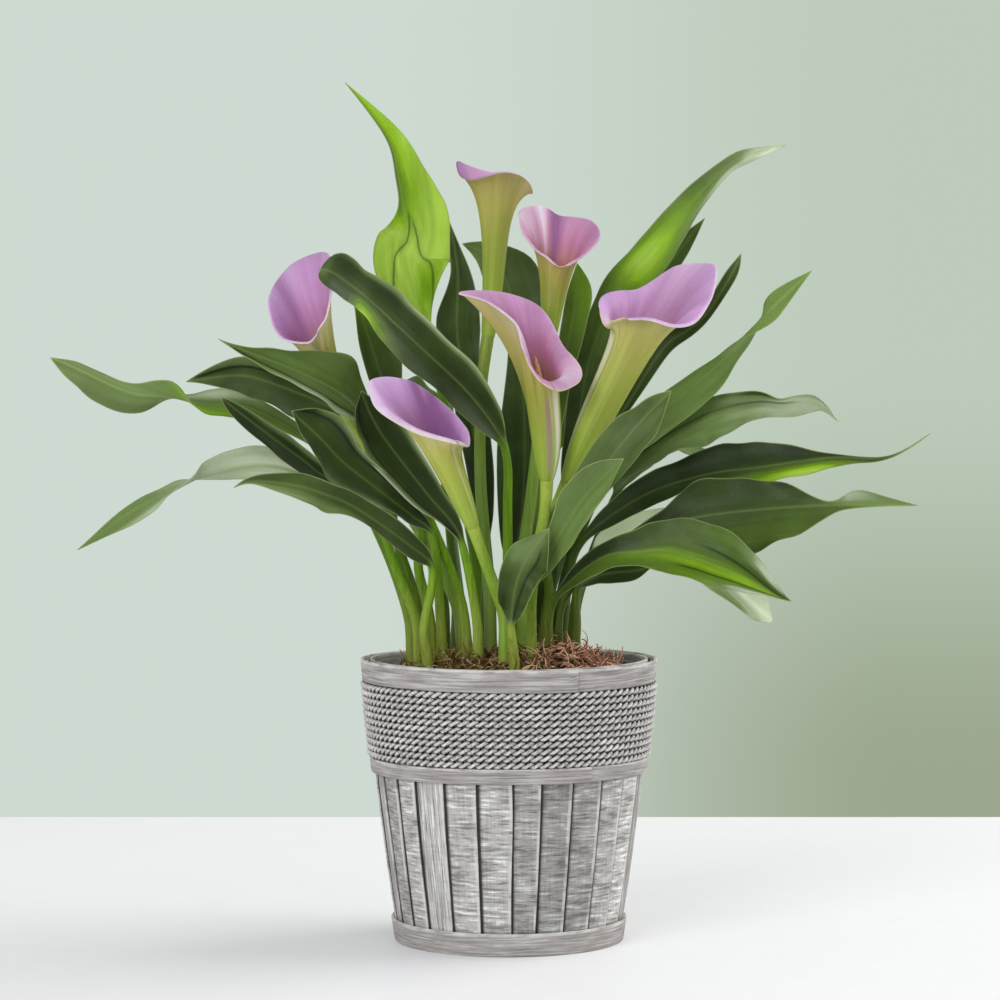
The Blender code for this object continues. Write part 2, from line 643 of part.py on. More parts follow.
def spathe_point(flower, turn, rise):
    """A point of the rolled spathe: turn is the angle from its tip, rise runs from its foot to its rim."""
    foot = Vector(flower["stem"][-1])
    upward = (foot - Vector(flower["stem"][-2])).normalized()
    foot = foot - upward * SPATHE_SLEEVE
    mouth = Vector(flower["mouth"])
    to_tip, across = Vector(flower["to_tip"]), Vector(flower["across"])
    reach = (mouth - foot).length
    first = (to_tip - to_tip.project(upward)).normalized()
    second = upward.cross(first)
    if second.dot(across) < 0:
        second = -second
    out = first * math.cos(turn) + second * math.sin(turn)
    widest = math.pi + SPATHE_OVERLAP
    step = out * SPATHE_STEP * (turn + widest) / (2 * widest)
    rim = to_tip * math.cos(turn) + across * math.sin(turn)
    pointed = math.exp(-((turn / SPATHE_TIP_WIDTH) ** 2))
    controls = [
        foot + out * SPATHE_FOOT,
        foot + upward * reach * SPATHE_THROAT + out * SPATHE_FOOT * SPATHE_THROAT_WIDENING,
        foot.lerp(mouth, SPATHE_FLARE_START) + rim * SPATHE_FLARE,
        mouth + rim + Vector(flower["tip"]) * pointed,
    ]
    left = 1 - rise
    return step + (
        controls[0] * left ** 3 + controls[1] * 3 * left * left * rise
        + controls[2] * 3 * left * rise * rise + controls[3] * rise ** 3
    )


def build_flower(place, flower, cutters):
    frames = stem_frames(flower)
    finish(swept(LEAF_SIDES, frames), f"flower_{place}_stem", "stem")
    add_pocket(cutters, frames)

    sheet = bmesh.new()
    bmesh.ops.create_grid(sheet, x_segments=SPATHE_COLUMNS, y_segments=SPATHE_ROWS, size=1)
    for vert in sheet.verts:
        turn = vert.co.x * (math.pi + SPATHE_OVERLAP)
        vert.co = spathe_point(flower, turn, (vert.co.y + 1) / 2)
    spathe = finish(sheet, f"flower_{place}_spathe", "spathe")
    wall = spathe.modifiers.new("thickness", "SOLIDIFY")
    wall.thickness = SPATHE_THICKNESS * MM
    wall.offset = 0

    foot = Vector(flower["stem"][-1])
    upward = (foot - Vector(flower["stem"][-2])).normalized()
    axis = (Vector(flower["mouth"]) - foot).normalized().lerp(upward, SPADIX_LEAN).normalized()
    ahead = Vector((0, -1, 0))
    up = (ahead - ahead.project(axis)).normalized()
    side = axis.cross(up)
    spike = []
    for share, width in SPADIX_PROFILE:
        centre = foot + axis * (GAP * 2 + SPADIX_LENGTH * share)
        radius = SPADIX_RADIUS * width
        spike.append((centre, side * radius, up * radius, Vector()))
    finish(swept(SPADIX_SIDES, spike), f"flower_{place}_spadix", "spadix")


def build_soil(cutter):
    floor = pot_floor() + POT_WALL + GAP
    outline = [
        (0, floor),
        (pot_radius(floor) - POT_WALL - SOIL_CLEARANCE, floor),
        (pot_radius(SOIL_TOP) - POT_WALL - SOIL_CLEARANCE, SOIL_TOP),
        (0, SOIL_TOP),
    ]
    cut(finish(turned(outline, MULCH_SEGMENTS, closed=False), "potting_soil", "soil"), cutter)


def build_mulch(cutter):
    """A lumpy layer of moss over the soil, feathered out at its edge."""
    foot = SOIL_TOP + GAP
    outline = [
        (0, foot),
        (MULCH_EDGE, foot),
        (MULCH_EDGE - 1, foot + MULCH_EDGE_HEIGHT),
        (MULCH_SHOULDER, MULCH_TOP),
        (0, MULCH_TOP),
    ]
    bm = turned(outline, MULCH_SEGMENTS, closed=False)
    for vert in bm.verts:
        if vert.co.z > foot + 1:
            vert.co.z += LUMP_HEIGHT * noise.noise(vert.co / LUMP_SIZE)
    cut(finish(bm, "moss_mulch", "moss"), cutter)


def main():
    clear_scene()
    build_base_board()
    build_slat_wall()
    build_hoops()
    build_rope()
    build_liner()
    build_nursery_pot()
    cutters = bmesh.new()
    build_leaves(cutters)
    for place, flower in FLOWERS.items():
        build_flower(place, flower, cutters)
    cutter = finish(cutters, "stalk_pockets", "soil")
    build_soil(cutter)
    build_mulch(cutter)


main()
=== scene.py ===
# %% [markdown]
# # A potted calla lily
#
# The object is a calla lily in a plastic nursery pot, which stands in a whitewashed basket of wood
# veneer with a band of rope round it. Each piece below is modelled in millimetres at its real place,
# and `show` turns it into metres at the end. The construction model is loaded first, and nearly every
# detailed piece takes the place of one of its pieces.

# %% Load the construction model
import math
import random

import bmesh
import bpy
from mathutils import Matrix, Vector, noise


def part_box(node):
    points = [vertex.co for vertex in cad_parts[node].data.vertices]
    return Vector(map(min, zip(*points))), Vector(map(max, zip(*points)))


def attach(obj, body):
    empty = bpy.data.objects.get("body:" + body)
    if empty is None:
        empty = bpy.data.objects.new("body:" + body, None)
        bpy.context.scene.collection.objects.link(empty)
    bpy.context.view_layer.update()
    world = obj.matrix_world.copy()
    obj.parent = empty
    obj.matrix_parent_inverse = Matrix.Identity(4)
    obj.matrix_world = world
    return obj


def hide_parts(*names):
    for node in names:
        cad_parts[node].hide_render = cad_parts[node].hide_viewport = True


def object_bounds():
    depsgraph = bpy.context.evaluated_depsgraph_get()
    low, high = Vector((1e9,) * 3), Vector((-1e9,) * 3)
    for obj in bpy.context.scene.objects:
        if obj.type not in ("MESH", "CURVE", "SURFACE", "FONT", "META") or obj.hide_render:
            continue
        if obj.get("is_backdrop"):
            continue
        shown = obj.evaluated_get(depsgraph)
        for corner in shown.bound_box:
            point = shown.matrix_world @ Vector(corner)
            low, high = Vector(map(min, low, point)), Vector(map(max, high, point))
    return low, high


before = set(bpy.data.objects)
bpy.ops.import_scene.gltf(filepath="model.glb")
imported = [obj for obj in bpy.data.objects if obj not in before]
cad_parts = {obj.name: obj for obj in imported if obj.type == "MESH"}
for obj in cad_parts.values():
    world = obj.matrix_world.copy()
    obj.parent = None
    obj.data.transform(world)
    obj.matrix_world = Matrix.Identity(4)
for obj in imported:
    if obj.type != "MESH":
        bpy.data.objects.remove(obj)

CAD_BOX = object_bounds()
print("construction pieces:", len(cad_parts), "box:", [tuple(corner) for corner in CAD_BOX])

# %% [markdown]
# ## The camera
#
# A long lens from almost two metres away, a little above the rim of the basket, keeps the leaves at
# their true proportions. A short lens close up would swell the flowers that lean forward.

# %% Place the camera
MM = 0.001
CAMERA_PLACE = Vector((-5.4, -1850, 316)) * MM
CAMERA_TILT = math.radians(1.65)
CAMERA_LENS = 111.4

camera_data = bpy.data.cameras.new("camera")
camera_data.lens = CAMERA_LENS
camera = bpy.data.objects.new("camera", camera_data)
camera.location = CAMERA_PLACE
camera.rotation_euler = (math.pi / 2 - CAMERA_TILT, 0, 0)
bpy.context.collection.objects.link(camera)
bpy.context.scene.camera = camera
bpy.context.scene.view_settings.view_transform = "Standard"
print("camera", CAMERA_LENS, "mm lens")

# %% [markdown]
# ## Shader sums as plain arithmetic
#
# A shader's numbers are sockets joined by Math nodes. They could be linked one by one, but wrapping a
# socket in a small class lets an expression such as `1 - mask * 0.5` add those nodes, which reads
# better than a page of links.

# %% Wrap a socket so that it can be added and multiplied
class Value:
    """A number that varies over a surface."""

    def __init__(self, finish, socket):
        self.finish = finish
        self.socket = socket

    def __add__(self, other):
        return self.finish.math("ADD", self, other)

    def __sub__(self, other):
        return self.finish.math("SUBTRACT", self, other)

    def __rsub__(self, other):
        return self.finish.math("SUBTRACT", other, self)

    def __mul__(self, other):
        return self.finish.math("MULTIPLY", self, other)

    __radd__ = __add__
    __rmul__ = __mul__


print("a value knows:", [name for name in vars(Value) if name.endswith(("add__", "sub__", "mul__"))])

# %% [markdown]
# ## A finish
#
# A finish is the look of one material. It is a tree of nodes that has no picture in it, so that it
# needs no unwrapped mesh and stays sharp from close by. Every node comes from one method, `node`, and
# the others are short names for the nodes that are used most.

# %% Collect the nodes of a finish
class Finish:
    """A node tree, and the nodes that a finish adds to it."""

    def __init__(self, tree):
        self.tree = tree
        self.tree.nodes.clear()

    def node(self, kind, settings, inputs, output=0):
        """Adds a node, sets it up, fills or links its sockets, and returns one of its outputs."""
        node = self.tree.nodes.new(kind)
        for name, setting in settings.items():
            if name == "stops":
                self.set_stops(node.color_ramp, setting)
            else:
                setattr(node, name, setting)
        for name, value in inputs.items():
            if isinstance(value, Value):
                self.tree.links.new(value.socket, node.inputs[name])
            else:
                node.inputs[name].default_value = value
        return Value(self, node.outputs[output]) if node.outputs else node

    def set_stops(self, ramp, stops):
        """Gives a colour ramp its stops, from a list of places and colours."""
        while len(ramp.elements) < len(stops):
            ramp.elements.new(1)
        for element, (place, colour) in zip(ramp.elements, stops):
            element.position = place
            element.color = (*colour, 1)

    def math(self, operation, *terms):
        """One sum, or one function, of numbers and values."""
        return self.node("ShaderNodeMath", {"operation": operation}, dict(enumerate(terms)))

    def share(self, value, start, end):
        """How far a value has gone from start to end, kept between 0 and 1."""
        settings = {"interpolation_type": "SMOOTHSTEP"}
        inputs = {"Value": value, "From Min": start, "From Max": end}
        return self.node("ShaderNodeMapRange", settings, inputs)

    def mix(self, factor, first, second, blend="MIX"):
        """A colour that goes from the first to the second as the factor goes from 0 to 1."""
        first, second = [c if isinstance(c, Value) else (*c, 1) for c in (first, second)]
        settings = {"data_type": "RGBA", "blend_type": blend}
        return self.node("ShaderNodeMix", settings, {0: factor, 6: first, 7: second}, 2)

    def ramp(self, factor, stops):
        """A colour from a list of places and colours."""
        return self.node("ShaderNodeValToRGB", {"stops": stops}, {"Fac": factor})

    def attribute(self, name):
        """A number that the piece stores at each vertex."""
        return self.node("ShaderNodeAttribute", {"attribute_name": name}, {}, "Fac")

    def place(self, stretch=(1, 1, 1)):
        """Object coordinates, squeezed or stretched along each axis."""
        coordinates = self.node("ShaderNodeTexCoord", {}, {}, "Object")
        return self.node("ShaderNodeMapping", {}, {"Vector": coordinates, "Scale": stretch})

    def noise(self, scale, detail=2.0, vector=None, roughness=0.5):
        """Soft chance, around 0.5."""
        inputs = {"Scale": scale, "Detail": detail, "Roughness": roughness}
        inputs["Vector"] = vector or self.place()
        return self.node("ShaderNodeTexNoise", {}, inputs, "Fac")

    def vector(self, x, y, z):
        """Three numbers as one place, or as one colour."""
        return self.node("ShaderNodeCombineXYZ", {}, {"X": x, "Y": y, "Z": z})

    def bump(self, height, distance):
        """The tilt that a height gives the surface, for a shader's normal."""
        return self.node("ShaderNodeBump", {}, {"Height": height, "Distance": distance})

    def brighten(self, colour, value):
        """A colour times a number."""
        return self.mix(1, colour, self.vector(value, value, value), "MULTIPLY")

    def surface(self, shader):
        """Ends the material."""
        self.node("ShaderNodeOutputMaterial", {}, {"Surface": shader})


def new_finish(name):
    """A new material, as the material and its finish."""
    material = bpy.data.materials.new(name)
    material.use_nodes = True
    return material, Finish(material.node_tree)


print("a finish can add:", [name for name in vars(Finish) if not name.startswith("_")])

# %% [markdown]
# ## From a bmesh to a piece
#
# Every piece ends the same way: its normals are made to point outwards, its millimetres become
# metres, and it becomes an object that sits at the origin. It rides on the construction model and
# hides those of its pieces that it stands for, if any.

# %% Turn a bmesh into a piece
def layer(bm, name):
    """A number stored at each vertex, which a material can read by its name."""
    return bm.verts.layers.float.get(name) or bm.verts.layers.float.new(name)


def show(name, bm, materials, slot, *nodes, outwards=True):
    """Makes the piece, and returns its object."""
    if outwards:
        bm.normal_update()
        bmesh.ops.recalc_face_normals(bm, faces=bm.faces)
    bmesh.ops.scale(bm, vec=(MM, MM, MM), verts=bm.verts)
    mesh = bpy.data.meshes.new(name)
    bm.to_mesh(mesh)
    bm.free()
    mesh.shade_smooth()
    piece = bpy.data.objects.new(name, mesh)
    bpy.context.collection.objects.link(piece)
    for material in materials:
        mesh.materials.append(material)
    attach(piece, "root")
    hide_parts(*nodes)
    print(name, len(mesh.vertices), "vertices")
    return piece


print("one unit is", MM, "metres while a piece is made")

# %% [markdown]
# ## The table
#
# The plant stands on a plain white table. Only its top and its far edge show, so a flat grid is
# enough, and a modelled table with legs would be hidden work.

# %% Set the table
TABLE_BACK = 550
TABLE_FRONT = -2200
TABLE_HALF_WIDTH = 3000

table_finish, table_tree = new_finish("white_table")
table_colour = table_tree.mix(table_tree.noise(40), (0.90, 0.90, 0.925), (0.93, 0.93, 0.955))
table_tree.surface(table_tree.node(
    "ShaderNodeBsdfPrincipled", {}, {"Base Color": table_colour, "Roughness": 0.5}, "BSDF"))

bm = bmesh.new()
bmesh.ops.create_grid(bm, x_segments=2, y_segments=2, size=1)
bmesh.ops.scale(bm, vec=(TABLE_HALF_WIDTH, (TABLE_BACK - TABLE_FRONT) / 2, 1), verts=bm.verts)
bmesh.ops.translate(bm, vec=(0, (TABLE_BACK + TABLE_FRONT) / 2, 0), verts=bm.verts)
bmesh.ops.scale(bm, vec=(MM, MM, MM), verts=bm.verts)
table_mesh = bpy.data.meshes.new("table")
bm.to_mesh(table_mesh)
bm.free()
table_mesh.materials.append(table_finish)
table = bpy.data.objects.new("table", table_mesh)
bpy.context.collection.objects.link(table)
table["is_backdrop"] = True
print("table back edge at", TABLE_BACK, "mm")

# %% [markdown]
# ## Room and light
#
# Behind the table is a pale green wall, with daylight from a window on the right and the room's light
# from everywhere else. The wall could be a plane, but then its green would tint the plant, so it is
# the world's colour, which only the camera and reflections see. It is darker to the right of a corner,
# most of all low down. The two lamps add up to a level at which a colour looks about as it is written.

# %% Light the room
WALL_LEFT = (0.62, 0.70, 0.64)
WALL_RIGHT = (0.51, 0.60, 0.50)
WALL_LOW_RIGHT = (0.33, 0.39, 0.275)
ROOM_LIGHT = 0.56
CORNER_LEFT = -0.05
CORNER_RIGHT = 0.13
DUSK_LOW = -0.12
DUSK_HIGH = 0.02
LAMP_AIM = Vector((0, 0, 0.25))

world = bpy.data.worlds.new("room")
world.use_nodes = True
bpy.context.scene.world = world
room = Finish(world.node_tree)
rays = [room.node("ShaderNodeLightPath", {}, {}, name)
        for name in ("Is Camera Ray", "Is Glossy Ray", "Is Transmission Ray")]
seen = room.math("MINIMUM", rays[0] + rays[1] + rays[2], 1)
direction = room.node("ShaderNodeTexCoord", {}, {}, "Generated")
sideways = room.node("ShaderNodeSeparateXYZ", {}, {"Vector": direction}, "X")
upwards = room.node("ShaderNodeSeparateXYZ", {}, {"Vector": direction}, "Z")
right_wall = room.mix(room.share(upwards, DUSK_LOW, DUSK_HIGH), WALL_LOW_RIGHT, WALL_RIGHT)
wall = room.mix(room.share(sideways, CORNER_LEFT, CORNER_RIGHT), WALL_LEFT, right_wall)
plain = (ROOM_LIGHT, ROOM_LIGHT, ROOM_LIGHT)
colour = room.mix(seen, plain, wall)
background = room.node("ShaderNodeBackground", {}, {"Color": colour}, "Background")
room.node("ShaderNodeOutputWorld", {}, {"Surface": background})


def area_lamp(name, place, size, power, tint):
    """A soft square lamp that faces the middle of the plant."""
    data = bpy.data.lights.new(name, "AREA")
    data.size = size
    data.energy = power
    data.color = tint
    lamp = bpy.data.objects.new(name, data)
    lamp.location = place
    lamp.rotation_euler = (LAMP_AIM - Vector(place)).to_track_quat("-Z", "Y").to_euler()
    bpy.context.collection.objects.link(lamp)


area_lamp("window", place=(1.9, 0.6, 1.6), size=2.1, power=46, tint=(1.0, 0.99, 0.97))
area_lamp("room_fill", place=(-1.3, -2.3, 1.3), size=1.6, power=36, tint=(0.98, 0.99, 1.0))
print("two lamps and a room at", ROOM_LIGHT)

# %% [markdown]
# ## Whitewashed wood
#
# The basket is poplar veneer, painted white and rubbed back, so that its grain shows grey through
# the paint. Most slats were brushed across, which leaves short level streaks, and a few show only
# their upright grain. Each strip also has its own brightness, `shade`, which multiplies its colour.
# The right edge of each slat is pale from wear, and is painted paler still where it catches the light,
# as a painted highlight. Its left edge, beside the gap where it slips under its neighbour, is painted
# nearly black as shade in the gap. Noise stretched along the grain or across it gives both kinds of
# streak with no picture.

# %% Mix the whitewash
# The pale edge colour is wear with a painted highlight, and the gap colour is painted shade.
WORN_AND_LIT_EDGE = (0.66, 0.635, 0.60)
GAP_SHADE = (0.025, 0.022, 0.02)


def whitewash(name, rubbed, paint, fresh_paint, cover):
    """Painted veneer, with more paint left on it as cover goes from 0 to 1.

    The attributes 'around' and 'up' are places in mm, 'edge' goes from -1 at a strip's left edge to
    1 at its right one, and 'offset' and 'shade' differ from strip to strip.
    """
    material, wood = new_finish(name)
    around, up, offset = (wood.attribute(n) for n in ("around", "up", "offset"))
    brushed = wood.attribute("brushed")
    shift = offset * 300
    grain = wood.noise(1, 5, wood.vector(around * 0.9 + shift, up * 0.03, offset * 9), 0.65)
    fine_grain = wood.noise(1, 3, wood.vector(around * 3.2 + shift, up * 0.12, 0), 0.6)
    streaks = wood.noise(1, 4, wood.vector(around * 0.07 + shift, up * 0.62, offset * 5), 0.66)
    patches = wood.noise(1, 3, wood.vector(around * 0.07 + shift, up * 0.05, 0), 0.6)
    marks = grain * (1 - brushed) + (streaks * 0.82 + grain * 0.18) * brushed
    marks = marks + (patches - 0.5) * 0.2 + (cover - 0.5) * 0.2
    colour = wood.mix(wood.share(marks, 0.37, 0.49), rubbed, paint)
    colour = wood.mix(wood.share(marks, 0.51, 0.62), colour, fresh_paint)
    colour = wood.mix(wood.share(fine_grain, 0.52, 0.32) * 0.35, colour, rubbed)
    colour = wood.brighten(colour, wood.attribute("shade"))
    edge = wood.attribute("edge")
    ragged = edge + (grain - 0.5) * 0.10
    # Painted highlight and wear: the right edge of a slat, and the top of a hoop, turn pale.
    worn_and_lit = wood.share(ragged, 0.72, 0.88) * wood.share(patches, 0.35, 0.6) * 0.85
    colour = wood.mix(worn_and_lit, colour, WORN_AND_LIT_EDGE)
    # Painted shade: the left edge of a slat, at the gap, goes nearly black, and the foot of a hoop a
    # little darker.
    colour = wood.mix(wood.share(ragged, -0.76, -0.88) * 0.97, colour, GAP_SHADE)
    colour = wood.mix(wood.share(ragged, -0.62, -0.86) * 0.45, colour, GAP_SHADE)
    relief = marks * 0.6 + fine_grain * 0.4
    wood.surface(wood.node("ShaderNodeBsdfPrincipled", {}, {
        "Base Color": colour,
        "Roughness": 0.62 + fine_grain * 0.25,
        "Specular IOR Level": 0.35,
        "Normal": wood.bump(relief, 0.35 * MM),
    }, "BSDF"))
    return material


slat_paint = whitewash(
    "whitewashed_slats", rubbed=(0.20, 0.19, 0.18), paint=(0.42, 0.41, 0.395),
    fresh_paint=(0.74, 0.735, 0.75), cover=0.42)
hoop_paint = whitewash(
    "whitewashed_hoops", rubbed=(0.23, 0.215, 0.205), paint=(0.36, 0.335, 0.325),
    fresh_paint=(0.52, 0.50, 0.49), cover=0.5)
print("whitewash mixed")

# %% [markdown]
# ## The shape of the basket
#
# The basket widens upwards along a slightly bowed line. Everything on it measures from that one line,
# so that slats, hoops and rope fit each other and one number would change them all. A band or a slat
# starts as a cube with many cuts, because a shape that is to bend needs edges where it bends.

# %% Measure the wall
WALL_FOOT_RADIUS = 65.9
WALL_LEAN = 0.165
WALL_BOW = 0.00026
SLAT_TOP = 166.5


def wall_radius(height):
    """The basket's outer radius at a height."""
    return WALL_FOOT_RADIUS + WALL_LEAN * height - WALL_BOW * height**2


def on_wall(angle, radius, height):
    """A place on the basket, by its angle round from the front towards the right."""
    return Vector((math.sin(angle) * radius, -math.cos(angle) * radius, height))


def plank_blank(across, along):
    """A unit cube, centred, cut across its width and along its height."""
    bm = bmesh.new()
    bmesh.ops.create_cube(bm, size=1)
    for axis, cuts in ((0, across - 1), (2, along - 1)):
        edges = [e for e in bm.edges
                 if abs(e.verts[0].co[axis] - e.verts[1].co[axis]) > 0.9]
        bmesh.ops.subdivide_edges(bm, edges=edges, cuts=cuts, use_grid_fill=True)
    return bm


print("wall radius", WALL_FOOT_RADIUS, "to", round(wall_radius(SLAT_TOP), 1), "mm")

# %% [markdown]
# ## Where each slat ends
#
# Veneer is cut by hand to uneven widths, and an array or a spin would make all the slats alike. So the
# edges at the front are given one by one, as degrees round from the front, with a shade for each slat.
# Those at the back are spread out evenly with a little chance.

# %% Choose the slats
FRONT_EDGES = (-69, -56, -44, -29, -14, 1, 13, 27, 42, 56)
FRONT_SHADES = [0.9, 1.15, 1.15, 1.1, 1.1, 0.85, 0.75, 0.8, 1.05, 1.3]
BACK_SLATS = 17
GOLDEN = 0.618

random.seed(5)
back_step = (360 + FRONT_EDGES[0] - FRONT_EDGES[-1]) / BACK_SLATS
slat_edges = list(FRONT_EDGES)
slat_edges += [FRONT_EDGES[-1] + back_step * (k + 1) + random.uniform(-1, 1)
               for k in range(BACK_SLATS - 1)]
slat_edges.append(360 + FRONT_EDGES[0])
slat_shades = FRONT_SHADES + [0.85 + 0.3 * (k * GOLDEN % 1) for k in range(BACK_SLATS)]

print("slats:", len(slat_edges) - 1)

# %% [markdown]
# ## The wall of slats
#
# The thin slats stand side by side, each with its right edge lapped over the next. One plank is
# copied once for each slat, and a rule bends every copy to its own place between two edges. Its left
# edge slips under its neighbour and its right edge stands a little proud. Noise warps it slightly, as
# dried veneer does. The rule also stores what the whitewash reads.

# %% Bend the slats round the basket
SLAT_THICKNESS = 1.2
SLAT_UNDER = 3.5
SLAT_LEFT_DEPTH = -1.1
SLAT_RIGHT_DEPTH = 0.5
SLAT_WARP = 0.25
EDGE_WOBBLE = 0.8
TOP_WOBBLE = 0.9
CROSS_BRUSHED = (0, 1, 3, 4, 5, 7, 8)
LESS_BRUSHED = 0.12

plank = plank_blank(6, 26)
plank_mesh = bpy.data.meshes.new("plank")
plank.to_mesh(plank_mesh)
plank_size = len(plank.verts)
plank.free()


def soften(piece, width):
    """Rounds a piece's sharp edges, by a width in mm."""
    bevel = piece.modifiers.new("rounded edges", "BEVEL")
    bevel.width = width * MM
    bevel.segments = 2
    bevel.limit_method = "ANGLE"


bm = bmesh.new()
for _ in slat_edges[:-1]:
    bm.from_mesh(plank_mesh)
around, up, offset, brushed, edge, shade = (
    layer(bm, name) for name in ("around", "up", "offset", "brushed", "edge", "shade"))
for index, vert in enumerate(bm.verts):
    slat = index // plank_size
    x, y, z = vert.co.x + 0.5, vert.co.y + 0.5, vert.co.z + 0.5
    wobble = noise.noise(Vector((slat * 7.3, z * 3.1, 0))) * EDGE_WOBBLE
    top = SLAT_TOP + noise.noise(Vector((slat * 3.7, 0, 5))) * TOP_WOBBLE
    height = z * top
    radius = wall_radius(height)
    left = math.radians(slat_edges[slat]) - SLAT_UNDER / radius
    right = math.radians(slat_edges[slat + 1]) + wobble / radius
    angle = left + (right - left) * x
    depth = SLAT_LEFT_DEPTH + (SLAT_RIGHT_DEPTH - SLAT_LEFT_DEPTH) * x
    depth += noise.noise(Vector((slat * 5.1, z * 2.3, 9))) * SLAT_WARP - (1 - y) * SLAT_THICKNESS
    vert.co = on_wall(angle, radius + depth, height)
    vert[around] = (angle - left) * radius
    vert[up] = height
    vert[offset] = (slat * GOLDEN) % 1
    vert[shade] = slat_shades[slat]
    vert[brushed] = 1.0 if slat in CROSS_BRUSHED or slat % 3 == 0 else LESS_BRUSHED
    visible = SLAT_UNDER / ((right - left) * radius)
    vert[edge] = (x - visible) / (1 - visible) * 2 - 1
slats = show("slat_wall", bm, [slat_paint], "whitewashed_wood", "basket_slat_wall")
soften(slats, 0.3)
print("slats", SLAT_THICKNESS, "mm thick")

# %% [markdown]
# ## The hoops
#
# Each hoop is one long band of veneer bent round the slats, with its last few centimetres lapped
# over its start. A closed ring would be simpler and would have no lap. So the same cut-up cube is
# stretched to a band and wound a little more than once round, which gives the lap for free. The
# inner hoop clamps the slats against the top hoop.

# %% Wind the hoops
HOOP_THICKNESS = 2.0
LAP_ANGLE = math.radians(16)
LAP_LIFT = 1.9
LAP_REACH = 1.5
LAP_RISE = 2.2
BAND_STEPS = 150
BAND_SWAY = 0.35
OUTSIDE = 0.6
INSIDE = -5.0


def hoop(name, node, outwards_from_wall, lap_end):
    """A band as high as the construction's hoop, with its lap ending at an angle in degrees.

    Its grain runs lengthwise, so 'up' is the place along the band and 'around' the place across it.
    """
    low, high = (corner.z / MM for corner in map(Vector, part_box(node)))
    bm = plank_blank(3, 2)
    bmesh.ops.rotate(bm, matrix=Matrix.Rotation(math.pi / 2, 3, "Y"), verts=bm.verts)
    lengthwise = [e for e in bm.edges if abs(e.verts[0].co.x - e.verts[1].co.x) > 0.4]
    bmesh.ops.subdivide_edges(bm, edges=lengthwise, cuts=BAND_STEPS // 2 - 1, use_grid_fill=True)
    around, up, offset, brushed, edge, shade = (
        layer(bm, n) for n in ("around", "up", "offset", "brushed", "edge", "shade"))
    whole = 2 * math.pi + LAP_ANGLE
    for vert in bm.verts:
        along, depth, rise = vert.co.x + 0.5, vert.co.y + 0.5, vert.co.z + 0.5
        angle = math.radians(lap_end) - (1 - along) * whole
        lapped = max(0, 1 - (1 - along) * whole / (LAP_ANGLE * LAP_REACH))
        sway = math.sin(angle * 2 + low) * BAND_SWAY
        height = low + sway * (1 if low > 1 else 0) + rise * (high - low)
        radius = wall_radius((low + high) / 2 + (rise - 0.5) * (high - low))
        lift = LAP_LIFT * min(1, lapped * LAP_RISE)
        vert.co = on_wall(angle, radius + outwards_from_wall + lift + depth * HOOP_THICKNESS, height)
        vert[up] = angle * radius
        vert[around] = rise * (high - low)
        vert[offset] = (low * 0.37) % 1
        vert[brushed] = 0.0
        vert[shade] = 1.0
        # 'edge' runs from -0.7 at the foot of the band to 1 at its top, so the whitewash paints the top
        # pale, as wear with a painted highlight, and the foot a little darker, as painted shade.
        vert[edge] = rise * 1.7 - 0.7
    piece = show(name, bm, [hoop_paint], "whitewashed_wood", node)
    soften(piece, 0.5)


hoop("top_hoop", "basket_top_hoop", OUTSIDE, lap_end=26)
hoop("middle_hoop", "basket_middle_hoop", OUTSIDE, lap_end=34)
hoop("bottom_hoop", "basket_bottom_hoop", OUTSIDE, lap_end=-118)
hoop("inner_hoop", "basket_inner_hoop", INSIDE, lap_end=150)
print("hoops", HOOP_THICKNESS, "mm thick, lapped by", round(math.degrees(LAP_ANGLE)), "degrees")

# %% [markdown]
# ## The staple
#
# A wire staple holds the lapped end of the top hoop. A curve with a bevel could make it, but a thin
# bar whose ends are bent into the wood stays a mesh from the start, as the export needs. Rope,
# threads, stalks and stems start from the same straight bar with many cuts.

# %% Drive the staple
STAPLE_ANGLE = math.radians(24)
STAPLE_HEIGHT = 163
STAPLE_HALF = 3.2
STAPLE_WIRE = 0.45
STAPLE_SIDES = 8
STAPLE_CUTS = 15
STAPLE_SLANT = 0.7
STAPLE_BEND = 0.8


def bar_blank(sides, cuts):
    """A straight round bar from height 0 to 1, cut across, which a rule then bends to its shape."""
    bm = bmesh.new()
    bmesh.ops.create_cone(bm, cap_ends=True, segments=sides, radius1=1, radius2=1, depth=1)
    bmesh.ops.translate(bm, vec=(0, 0, 0.5), verts=bm.verts)
    long_edges = [e for e in bm.edges if abs(e.verts[0].co.z - e.verts[1].co.z) > 0.5]
    bmesh.ops.subdivide_edges(bm, edges=long_edges, cuts=cuts)
    return bm


material, metal = new_finish("galvanised_wire")
tarnish = metal.noise(900, 2)
metal.surface(metal.node("ShaderNodeBsdfPrincipled", {}, {
    "Base Color": metal.mix(tarnish, (0.45, 0.44, 0.43), (0.62, 0.61, 0.60)),
    "Metallic": 0.8,
    "Roughness": 0.35 + tarnish * 0.2,
}, "BSDF"))
bm = bar_blank(STAPLE_SIDES, STAPLE_CUTS)
staple_radius = wall_radius(STAPLE_HEIGHT) + OUTSIDE + LAP_LIFT + HOOP_THICKNESS
for vert in bm.verts:
    turn = math.atan2(vert.co.y, vert.co.x)
    along = vert.co.z * 2 - 1
    sunk = max(0, abs(along) - STAPLE_BEND) * 8
    out = staple_radius + STAPLE_WIRE * (0.4 + math.cos(turn)) - sunk
    angle = STAPLE_ANGLE + along * STAPLE_HALF / staple_radius
    rise = STAPLE_WIRE * math.sin(turn) + along * STAPLE_SLANT
    vert.co = on_wall(angle, out, STAPLE_HEIGHT + rise)
show("hoop_staple", bm, [material], "whitewashed_wood")

# %% [markdown]
# ## The rope's fibres
#
# The rope is grey jute. Its fibres run along each strand and wind round it, so the noise is stretched
# along the strand and not laid over the whole band. Where a strand dips under its neighbour it is
# nearly black, because no light gets in there.

